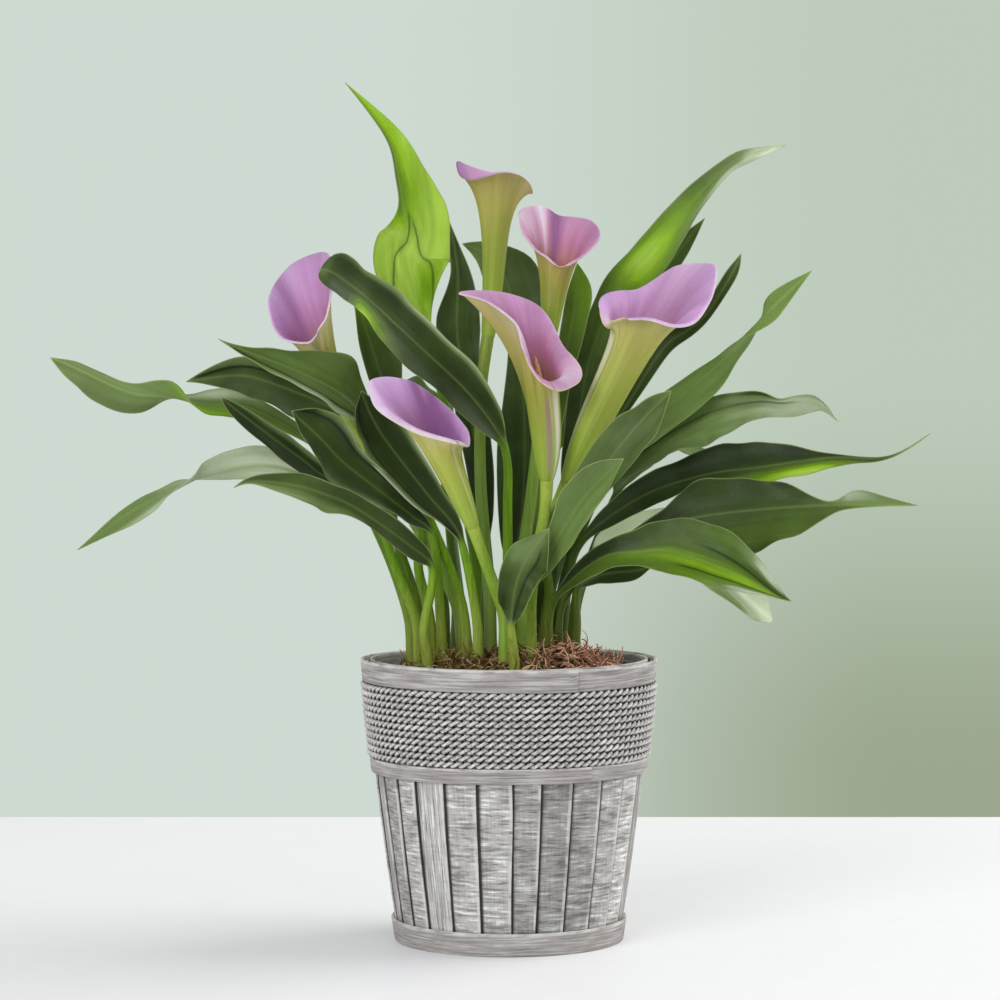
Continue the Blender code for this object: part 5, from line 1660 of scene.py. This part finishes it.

# %% [markdown]
# ## Flowers
#
# What looks like a calla's petal is one leaf, the spathe, rolled into a funnel round a finger of tiny
# flowers. Six funnels pushed into shape by hand would be hard to change later, so a flower is drawn by
# two lines: its stem, and the rim of its funnel, a few points from the seam round by the tip and back
# to the seam. A rule further down makes the funnel from them. A drawing also says:
#
# - `throat`: how wide the funnel is above the stem. `flare_start` and `flare`: how far up it begins to
#   open, and how far open it is there.
# - `rosy`: from cream and lavender at 0 to rose at 1. `green`: how far up the green of the foot goes.
# - `lip` and `front_lip`: how far the rim curls over, and how far it does so at the front.
# - `patches`: soft spots, each with its place round the rim, its height, its width, its tallness and
#   how much paler it is. Below 0 it is deeper in colour. They stand for the spathe's own paler and
#   deeper colour, and also for painted highlights and painted shade in the funnel.
# - `blush`: how strong a mauve stripe is beside the seam. `spadix_top`: how high the finger inside
#   reaches, as a share of the funnel's height.

# %% Draw the flowers
FLOWERS = {
    "left": {
        "root": (-22, 5), "stem": [(-32, 5, 202), (-54, 0, 245), (-76, -4, 280), (-94, -8, 311)],
        "rim": [(-113, -36, 360), (-117, -37, 356), (-125, -34, 356), (-134, -27, 359),
                (-139, -20, 367), (-142, -14, 379), (-140, -10, 388), (-134, -8, 397),
                (-126, -10, 404), (-110, -18, 409), (-105, -26, 402), (-104, -36, 390),
                (-105, -42, 380), (-107, -44, 370), (-111, -43, 364)],
        "throat": 6.5, "flare_start": 0.78, "flare": 0.45,
        "rosy": 0.3, "green": 0.15, "lip": 0.6, "front_lip": 0.6,
        "patches": [(8.5, 0.9, 1.8, 0.25, -0.6), (4, 0.75, 1.8, 0.25, -0.6), (12.5, 0.9, 1.8, 0.3, 0.45),
                    (6.5, 0.7, 0.5, 0.4, -0.55), (1.5, 0.8, 2, 0.3, 0.35)],
    },
    "low": {
        "root": (-2, -36), "stem": [(-3, -40, 196), (-9, -46, 214), (-16, -54, 234), (-23, -62, 254)],
        "rim": [(-25, -66, 296), (-31, -76, 298), (-41, -83, 301), (-52, -86, 305), (-62, -85, 311),
                (-71, -81, 318), (-76, -75, 326), (-79, -67, 333), (-71, -60, 335), (-63, -55, 334),
                (-56, -52, 332), (-50, -50, 328), (-42, -49, 322), (-34, -50, 315), (-29, -53, 309),
                (-25, -59, 303)],
        "throat": 9, "flare_start": 0.76, "flare": 0.42,
        "rosy": 0.1, "green": 0.35, "lip": 0.6, "front_lip": 3.6,
        "patches": [(7, 0.97, 1.5, 0.1, 0.6), (12.5, 0.5, 5, 0.17, -1.2), (12, 0.75, 3, 0.25, -0.6),
                    (10, 0.75, 0.4, 0.35, -0.7), (11.5, 0.7, 0.35, 0.35, -0.5), (1, 0.97, 4, 0.08, 0.5)],
    },
    "middle": {
        "root": (6, -22), "stem": [(9, -26, 200), (16, -34, 232), (21, -41, 258), (22, -45, 281)],
        "rim": [(34, -62, 329), (28, -66, 327), (21, -70, 330), (15, -72, 335), (10, -70, 344),
                (7, -66, 355), (5, -58, 365), (-2, -48, 372), (-11, -34, 379), (-20, -20, 383),
                (-30, -8, 386), (-18, -9, 387), (-5, -12, 386), (6, -15, 383), (15, -18, 379),
                (21, -23, 373), (25, -30, 365), (29, -36, 356), (34, -42, 349), (39, -46, 343),
                (41, -51, 337), (39, -57, 332)],
        "throat": 16, "flare_start": 0.9, "flare": 0.12,
        "rosy": 0.7, "green": 0.4, "lip": 0.8, "front_lip": 1.0,
        "patches": [(10, 0.95, 2, 0.15, 0.5), (19.5, 0.85, 1.5, 0.15, 0.4), (14, 0.75, 3, 0.25, -0.35),
                    (21.6, 0.35, 1.0, 0.4, 0.9), (6, 0.85, 2.5, 0.3, 0.5), (20.5, 0.66, 1.5, 0.12, 0.35)],
        "blush": 1, "spadix_top": 0.76,
    },
    "top": {
        "root": (-10, 10), "stem": [(-12, 11, 210), (-17, 14, 270), (-17, 17, 325), (-12, 22, 366)],
        "rim": [(-4, 48, 461), (-11, 46, 461), (-20, 40, 463), (-27, 32, 465), (-31, 24, 466),
                (-29, 14, 457), (-22, 8, 454), (-13, 4, 456), (-5, 3, 458), (2, 7, 458), (8, 14, 456),
                (12, 22, 452), (13, 32, 448), (10, 40, 450), (3, 46, 457)],
        "throat": 8.5, "flare_start": 0.86, "flare": 0.2,
        "rosy": 0.5, "green": 0.8, "lip": 0.5, "front_lip": 0.4,
        "patches": [(9, 0.8, 1.5, 0.2, -0.35), (6, 0.5, 0.8, 0.4, 0.1), (4.8, 0.95, 3, 0.3, -1.2),
                    (7.5, 0.5, 6, 0.4, -0.12)],
    },
    "upper": {
        "root": (3, 12), "stem": [(6, 10, 210), (14, 6, 270), (20, 5, 325), (24, 6, 362)],
        "rim": [(28, -9, 402), (23, -8, 407), (17, -2, 411), (12, 4, 417), (8, 9, 424), (7, 12, 431),
                (7, 15, 436), (12, 18, 438), (18, 19, 439), (24, 18, 437), (29, 16, 433),
                (35, 15, 432), (43, 12, 431), (49, 8, 429), (53, 2, 423), (52, -3, 417),
                (48, -7, 412), (42, -9, 407), (37, -10, 404), (32, -11, 401)],
        "throat": 8.5, "flare_start": 0.82, "flare": 0.34,
        "rosy": 0.9, "green": 0.5, "lip": 0.6, "front_lip": 0.5,
        "patches": [(8.2, 0.85, 0.5, 0.4, 0.95), (6.0, 0.85, 1.6, 0.4, 0.5), (9.8, 0.7, 0.9, 0.35, -0.95),
                    (13.5, 0.85, 3, 0.35, -0.5)],
    },
    "right": {
        "root": (4, -3), "stem": [(8, -6, 200), (19, -14, 238), (29, -22, 262), (36, -28, 279)],
        "rim": [(57, -40, 364), (60, -46, 367), (67, -50, 369), (76, -54, 370), (84, -56, 369),
                (93, -56, 366), (101, -52, 366), (108, -46, 369), (114, -38, 377), (119, -28, 386),
                (122, -12, 401), (116, -8, 403), (108, -4, 403), (100, 0, 402), (93, 2, 398),
                (78, 0, 388), (67, -4, 387), (59, -10, 385), (55, -20, 381), (54, -32, 372)],
        "throat": 16, "flare_start": 0.88, "flare": 0.2,
        "rosy": 0.2, "green": 0.5, "lip": 0.8, "front_lip": 1.2,
        "patches": [(12, 0.9, 2, 0.4, 0.3), (19.3, 0.5, 0.7, 0.4, 1.0), (4.5, 0.5, 1.3, 0.4, -0.4),
                    (17.5, 0.85, 1.2, 0.2, -0.3), (2.5, 0.75, 1.8, 0.25, -0.5)],
    },
}
print(len(FLOWERS), "flowers drawn")

# %% [markdown]
# ## The flower's finish
#
# Outside, the funnel is green at its foot and passes through yellow-green to a creamy pink at the
# rim. Inside, the throat is a warm tan and the open part is mauve. Some flowers are more rosy and some
# more lavender. A finish for each flower would repeat itself six times. Instead each face has one ramp
# for pale flowers and one for rosy ones, and the flower says how far it is from one to the other.

# %% List the colours from the foot to the rim
OUTSIDE_TONES = [
    (0.0, (0.32, 0.43, 0.05)), (0.25, (0.45, 0.54, 0.08)), (0.5, (0.60, 0.62, 0.15)),
    (0.75, (0.72, 0.70, 0.34)), (0.92, (0.78, 0.68, 0.47)), (1.0, (0.80, 0.64, 0.58))]
ROSY_OUTSIDE_TONES = [
    (0.0, (0.27, 0.38, 0.03)), (0.25, (0.36, 0.35, 0.055)), (0.5, (0.46, 0.38, 0.10)),
    (0.75, (0.62, 0.48, 0.17)), (0.92, (0.72, 0.52, 0.36)), (1.0, (0.74, 0.50, 0.46))]
INSIDE_TONES = [
    (0.0, (0.26, 0.26, 0.07)), (0.3, (0.46, 0.24, 0.19)), (0.5, (0.54, 0.25, 0.57)),
    (0.72, (0.72, 0.43, 0.86)), (0.92, (0.86, 0.66, 0.98)), (1.0, (0.91, 0.79, 0.96))]
ROSY_INSIDE_TONES = [
    (0.0, (0.26, 0.26, 0.07)), (0.3, (0.54, 0.25, 0.15)), (0.5, (0.60, 0.22, 0.36)),
    (0.72, (0.68, 0.34, 0.54)), (0.92, (0.79, 0.52, 0.70)), (1.0, (0.86, 0.68, 0.76))]
print(len(OUTSIDE_TONES), "tones from the foot to the rim of each face")

# %% [markdown]
# ## Ribs, folds and the cream edge
#
# Fine ribs run up the funnel with broader folds among them. Both are noise that is stretched upwards,
# in the bump and as painted light and shade in the colour, because modelled ribs this fine would need
# a far denser mesh. The rim and the seam have a cream edge, and the thin wall lets light through. The
# two faces of the wall need all of this in other colours, so one function makes both.

# %% Mix the two faces of a spathe
RIB_SHADE = 0.5
FOLD_SHADE = 0.8
EDGE_TONE = (0.84, 0.79, 0.58)
BLUSH_TONE = (0.36, 0.19, 0.24)


def blush_stripe(petal, rise, turn):
    """Where the stripe beside the seam shows."""
    stripe = petal.share(turn, 0.05, 0.06) * petal.share(turn + rise * 0.12, 0.17, 0.13)
    stripe = stripe * petal.share(rise, 0.5, 0.34) * petal.share(rise, 0.0, 0.1)
    return stripe * petal.attribute("blush")


def cream_edge(petal):
    """Where the cream edge shows: along the whole rim, and more weakly along the seam."""
    rim = petal.share(petal.attribute("to_rim"), 2.8, 1.3)
    seam = petal.share(petal.attribute("to_seam"), 3.0, 1.0) * 0.35
    return petal.math("MAXIMUM", rim, seam)


def spathe_finish(name, tones, rosy_tones, pale_and_highlight_tone, deep_and_shade_tone, through):
    """One face of the spathe, from its tones and the colour of the light that comes through it."""
    material, petal = new_finish(name)
    rise, turn = petal.attribute("rise"), petal.attribute("turn")
    rosy, pale = petal.attribute("rosy"), petal.attribute("pale")
    cloud, grain = petal.noise(70, 2), petal.noise(600, 3)
    ribs = petal.noise(1, 4, petal.vector(turn * 60, rise * 1.2, rosy * 7), 0.7)
    folds = petal.noise(1, 2, petal.vector(turn * 11, rise * 1.1, rosy * 9 + 4), 0.5)
    place = rise + (cloud - 0.5) * 0.16 - petal.attribute("green") * (1.15 - rise) * 0.35
    colour = petal.mix(rosy, petal.ramp(place, tones), petal.ramp(place, rosy_tones))
    # Painted light and shade of the ribs and folds, on top of their bump.
    shade = 1 + (ribs - 0.5) * RIB_SHADE + (folds - 0.5) * FOLD_SHADE + (grain - 0.5) * 0.12
    colour = petal.brighten(colour, shade)
    # Patches: paler colour with painted highlights above 0, and below 0 deeper colour with painted shade.
    colour = petal.mix(petal.share(pale + (ribs - 0.5) * 0.4, 0, 1), colour, pale_and_highlight_tone)
    colour = petal.mix(petal.share(pale, 0, -1) * 0.85, colour, deep_and_shade_tone)
    colour = petal.mix(blush_stripe(petal, rise, turn) * 0.7, colour, BLUSH_TONE)
    colour = petal.mix(cream_edge(petal) * 0.72, colour, EDGE_TONE)
    relief = petal.bump(ribs * 0.5 + folds * 1.5 + grain * 0.3, 0.5 * MM)
    skin = petal.node("ShaderNodeBsdfPrincipled", {}, {
        "Base Color": colour,
        "Roughness": 0.42 + grain * 0.15,
        "Specular IOR Level": 0.4,
        "Normal": relief,
    }, "BSDF")
    glow = petal.node("ShaderNodeBsdfTranslucent", {}, {"Color": through, "Normal": relief}, "BSDF")
    thinness = petal.share(rise, 0.05, 0.35) * 0.25
    petal.surface(petal.node("ShaderNodeMixShader", {}, {0: thinness, 1: skin, 2: glow}, "Shader"))
    return material


spathe_outside = spathe_finish(
    "spathe_outside", OUTSIDE_TONES, ROSY_OUTSIDE_TONES,
    pale_and_highlight_tone=(0.86, 0.85, 0.66), deep_and_shade_tone=(0.26, 0.28, 0.03), through=(0.72, 0.66, 0.24, 1))
spathe_inside = spathe_finish(
    "spathe_inside", INSIDE_TONES, ROSY_INSIDE_TONES,
    pale_and_highlight_tone=(0.93, 0.84, 0.95), deep_and_shade_tone=(0.27, 0.08, 0.30), through=(0.74, 0.46, 0.78, 1))
print("spathe finishes:", spathe_outside.name, "and", spathe_inside.name)

# %% [markdown]
# ## The finish of stems and spadices
#
# A stem is pale at its foot and fresh green above, with fine upright streaks, and those at the back
# are painted darker as shade, because they get less light. A spadix is packed with tiny round
# flowers. Thousands of modelled beads would cost much and hardly show inside a funnel, so the beads
# are the cells of a Voronoi texture, with a bump.

# %% Mix the stem and the spadix
stem_material, stem = new_finish("flower_stem_green")
rise = stem.attribute("rise")
streaks = stem.noise(1, 4, stem.place((800, 800, 20)), 0.6)
blotch = stem.noise(60, 3)
colour = stem.ramp(rise + (blotch - 0.5) * 0.2, [
    (0.0, (0.40, 0.40, 0.10)), (0.35, (0.20, 0.35, 0.02)), (0.75, (0.22, 0.36, 0.02)),
    (0.95, (0.34, 0.45, 0.045))])
# Painted shade: stems towards the back are darkened, because they get less light.
far = stem.share(along_axis(stem, "Y"), -0.02, 0.03)
colour = stem.brighten(colour, (0.5 + streaks) * (1 - far * 0.4))
stem.surface(stem.node("ShaderNodeBsdfPrincipled", {}, {
    "Base Color": colour,
    "Roughness": 0.36 + blotch * 0.15,
    "Normal": stem.bump(streaks, 0.25 * MM),
}, "BSDF"))

spadix_material, finger = new_finish("spadix_gold")
beads = finger.node("ShaderNodeTexVoronoi", {}, {"Vector": finger.place(), "Scale": 900}, "Distance")
finger.surface(finger.node("ShaderNodeBsdfPrincipled", {}, {
    "Base Color": finger.mix(beads, (0.78, 0.46, 0.24), (0.46, 0.22, 0.10)),
    "Roughness": 0.7,
    "Normal": finger.bump(1 - beads, 0.5 * MM),
}, "BSDF"))
print("stem and spadix finishes mixed")

# %% [markdown]
# ## The lines of a funnel
#
# Each upright line of the funnel leaves a small ring round the stem's end, rises, opens at the flare
# and ends at its place on the rim. That is a Bezier curve with four handles. They follow from the
# drawing, so that a moved rim point moves the whole funnel with it. The last rows go on over the rim
# as a lip, which can curl further at the front, where the rim of an open spathe hangs.

# %% Follow the lines of a funnel
SPATHE_ROWS = 26
LIP_ROWS = 5
LIP_CURL = math.radians(120)
FRONT_REACH = 14
SLEEVE = 6
FOOT_RADIUS = 4.0
THROAT_SHARE = 0.45
OVERLAP_STEP = 1.1


def ring_point(points, place):
    """The point at a place along a smooth closed curve; the place may run past the last point."""
    around = points[-1:] + points + points[:4]
    return curve_point(around, place + 1)


def bezier(a, b, c, d, t):
    """The point at t of the curve that leaves a towards b and comes from c into d."""
    return a * (1 - t)**3 + b * (3 * t * (1 - t)**2) + c * (3 * t**2 * (1 - t)) + d * t**3


def funnel(plan):
    """The funnel's foot, the way up from it, the middle of its mouth and its rim's points."""
    end, before = Vector(plan["stem"][-1]), Vector(plan["stem"][-2])
    upward = (end - before).normalized()
    rim = [Vector(p) for p in plan["rim"]]
    mouth = sum(rim, Vector()) / len(rim)
    return end - upward * SLEEVE, upward, mouth, rim


def funnel_point(plan, shape, place, row):
    """Where a point of the flat grid goes: place runs round the rim, row runs up and over the lip."""
    foot, upward, mouth, rim = shape
    goal = ring_point(rim, place)
    axis = (mouth - foot).normalized()
    spoke = goal - foot
    out = (spoke - axis * spoke.dot(axis)).normalized()
    foot_out = (out - upward * out.dot(upward)).normalized()
    goal = goal + out * OVERLAP_STEP * (place / len(rim) - 0.5)
    reach = (mouth - foot).length
    handles = (
        foot + foot_out * FOOT_RADIUS,
        foot + upward * reach * THROAT_SHARE + foot_out * plan["throat"],
        foot.lerp(mouth, plan["flare_start"]) + (goal - mouth) * plan["flare"],
        goal,
    )
    straight_rows = SPATHE_ROWS - LIP_ROWS
    if row <= straight_rows:
        return bezier(*handles, row / straight_rows)
    along = (handles[3] - handles[2]).normalized()
    away = (out - along * out.dot(along)).normalized()
    front = max(0.0, min(1.0, (mouth.y - goal.y) / FRONT_REACH))
    curl = plan["lip"] + (plan["front_lip"] - plan["lip"]) * front
    angle = (row - straight_rows) / LIP_ROWS * LIP_CURL
    return goal + along * curl * math.sin(angle) + away * curl * (1 - math.cos(angle))


print("each funnel line rises in", SPATHE_ROWS - LIP_ROWS, "rows and curls over in", LIP_ROWS)

# %% [markdown]
# ## Rolling the spathe
#
# A cone with its end pulled out would have no seam. A real spathe is a flat leaf that wraps over
# itself, so a flat grid is bent into the funnel: it goes once round and a little past its start, a
# millimetre further out. Solidify then gives it a wall, with the inner face in the second finish.

# %% Roll the spathes
SPATHE_COLUMNS = 52
SPATHE_WALL = 0.6
OVERLAP = 1.2
SEAM_SPACING = 6


def paleness(plan, place, share):
    """How much paler the patches make one place. Both ways round the rim count."""
    total = 0
    for middle, height, wide, tall, more in plan["patches"]:
        around = abs(place - middle)
        around = min(around, len(plan["rim"]) - around)
        total += more * math.exp(-((around / wide) ** 2) - ((share - height) / tall) ** 2)
    return total


def looks_inwards(bm, foot, upward):
    """Whether the faces look at the funnel's middle line, and not away from it."""
    total = 0
    for face in bm.faces:
        spoke = face.calc_center_median() - foot
        total += face.normal.dot(spoke - upward * spoke.dot(upward))
    return total < 0


def roll_spathe(name, plan):
    """One spathe, rolled from a flat grid, with what its finish reads stored at each point."""
    shape = funnel(plan)
    foot, upward, mouth, rim = shape
    bm = bmesh.new()
    bmesh.ops.create_grid(bm, x_segments=SPATHE_COLUMNS, y_segments=SPATHE_ROWS, size=1)
    rise, turn, rosy, green, pale, blush, to_rim, to_seam = (layer(bm, n) for n in (
        "rise", "turn", "rosy", "green", "pale", "blush", "to_rim", "to_seam"))
    for vert in bm.verts:
        place = (vert.co.x + 1) / 2 * (len(rim) + OVERLAP)
        share = (vert.co.y + 1) / 2
        vert.co = funnel_point(plan, shape, place, share * SPATHE_ROWS)
        vert[rise] = share
        vert[turn] = place / len(rim)
        vert[rosy] = plan["rosy"]
        vert[green] = plan["green"]
        vert[blush] = plan.get("blush", 0)
        vert[pale] = paleness(plan, place, share)
        vert[to_rim] = (1 - share) * (mouth - foot).length
        vert[to_seam] = (len(rim) + OVERLAP - place) * SEAM_SPACING
    bm.normal_update()
    if looks_inwards(bm, foot, upward):
        bmesh.ops.reverse_faces(bm, faces=bm.faces)
    piece = show("funnel_" + name, bm, [spathe_outside, spathe_inside], "spathe",
                 f"flower_{name}_spathe", outwards=False)
    wall = piece.modifiers.new("wall", "SOLIDIFY")
    wall.thickness = SPATHE_WALL * MM
    wall.offset = -1
    wall.material_offset = 1
    subdivide(piece)


for name, plan in FLOWERS.items():
    roll_spathe(name, plan)
print("spathe walls", SPATHE_WALL, "mm thick")

# %% [markdown]
# ## Stems
#
# A stem is a round bar along its line, a little thicker at its foot and where it meets the funnel. A
# curve object with a bevel could do that too, but it can't store how far along each point is, and the
# finish needs that. So a bar is bent along the line, as with the leaves.

# %% Raise the stems
STEM_SIDES = 14
STEM_STATIONS = 26
STEM_FOOT_RADIUS = 4.2
STEM_TOP_RADIUS = 3.5
NECK_SWELL = 0.75
NECK_START = 0.8


def sweep(name, points, sides, stations, radius, material, slot, node):
    """A bar along a smooth line, with a radius that is a rule of how far along it is."""
    bm = bar_blank(sides, stations - 1)
    rise = layer(bm, "rise")
    places, _ = even_steps(points, 0, len(points) - 1, stations)
    for vert in bm.verts:
        along = vert.co.z
        place = places[round(along * stations)]
        ahead = curve_point(points, min(place + TANGENT_STEP, len(points) - 1))
        forwards = (ahead - curve_point(points, max(place - TANGENT_STEP, 0))).normalized()
        right = forwards.cross(Vector((0, -1, 0))).normalized()
        front = right.cross(forwards)
        wide = radius(along)
        vert.co = curve_point(points, place) + (right * vert.co.x + front * vert.co.y) * wide
        vert[rise] = along
    subdivide(show(name, bm, [material], slot, node))


def stem_radius(along):
    """The stem's radius: it slims from its foot upwards and swells again under the funnel."""
    slim = STEM_FOOT_RADIUS + (STEM_TOP_RADIUS - STEM_FOOT_RADIUS) * min(1, along * 1.3)
    return slim + NECK_SWELL * max(0, (along - NECK_START) / (1 - NECK_START)) ** 2


for name, plan in FLOWERS.items():
    sweep("stalk_" + name, stalk_line(plan["root"], plan["stem"]), STEM_SIDES, STEM_STATIONS,
          stem_radius, stem_material, "stem", f"flower_{name}_stem")
print("stems", 2 * STEM_FOOT_RADIUS, "mm thick at the foot")

# %% [markdown]
# ## Spadices
#
# The spadix is the finger inside the spathe that carries the real flowers. It shows only where a
# spathe is open to the front. A straight finger would poke through a bent funnel, so its line goes
# through the middles of rings measured on the funnel itself.

# %% Add the spadices
SPADIX_FOOT = 0.14
SPADIX_TOP = 0.66
SPADIX_RADIUS = 3.0
SPADIX_SIDES = 12
SPADIX_STATIONS = 16
LINE_STEPS = 3


def spadix_radius(along):
    """The spadix's radius: it is fullest below its middle and rounds off at the tip."""
    rounded = math.sqrt(max(0.03, 1 - along**3))
    return SPADIX_RADIUS * rounded * (0.85 + 0.15 * math.sin(along * 3))


def funnel_middle(plan, share):
    """The middle of the funnel at a share of the way from its foot to its rim."""
    shape = funnel(plan)
    count = len(plan["rim"])
    row = share * (SPATHE_ROWS - LIP_ROWS)
    ring = [funnel_point(plan, shape, place, row) for place in range(count)]
    return sum(ring, Vector()) / count


for name, plan in FLOWERS.items():
    height = plan.get("spadix_top", SPADIX_TOP) - SPADIX_FOOT
    line = [
        funnel_middle(plan, SPADIX_FOOT + height * i / LINE_STEPS) for i in range(LINE_STEPS + 1)]
    sweep("finger_" + name, line, SPADIX_SIDES, SPADIX_STATIONS, spadix_radius, spadix_material,
          "spadix", f"flower_{name}_spadix")
print("spadices", 2 * SPADIX_RADIUS, "mm thick")

# %% [markdown]
# ## Print the size
#
# The detailed pieces must fill the same box as the construction model, so the sizes of both boxes
# are printed side by side.

# %% Print the size of both boxes
shown_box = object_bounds()
boxes = {"cad": [list(corner) for corner in CAD_BOX], "visual": [list(corner) for corner in shown_box]}
for label, (low, high) in boxes.items():
    print(label, [round((b - a) / MM) for a, b in zip(low, high)], "mm")
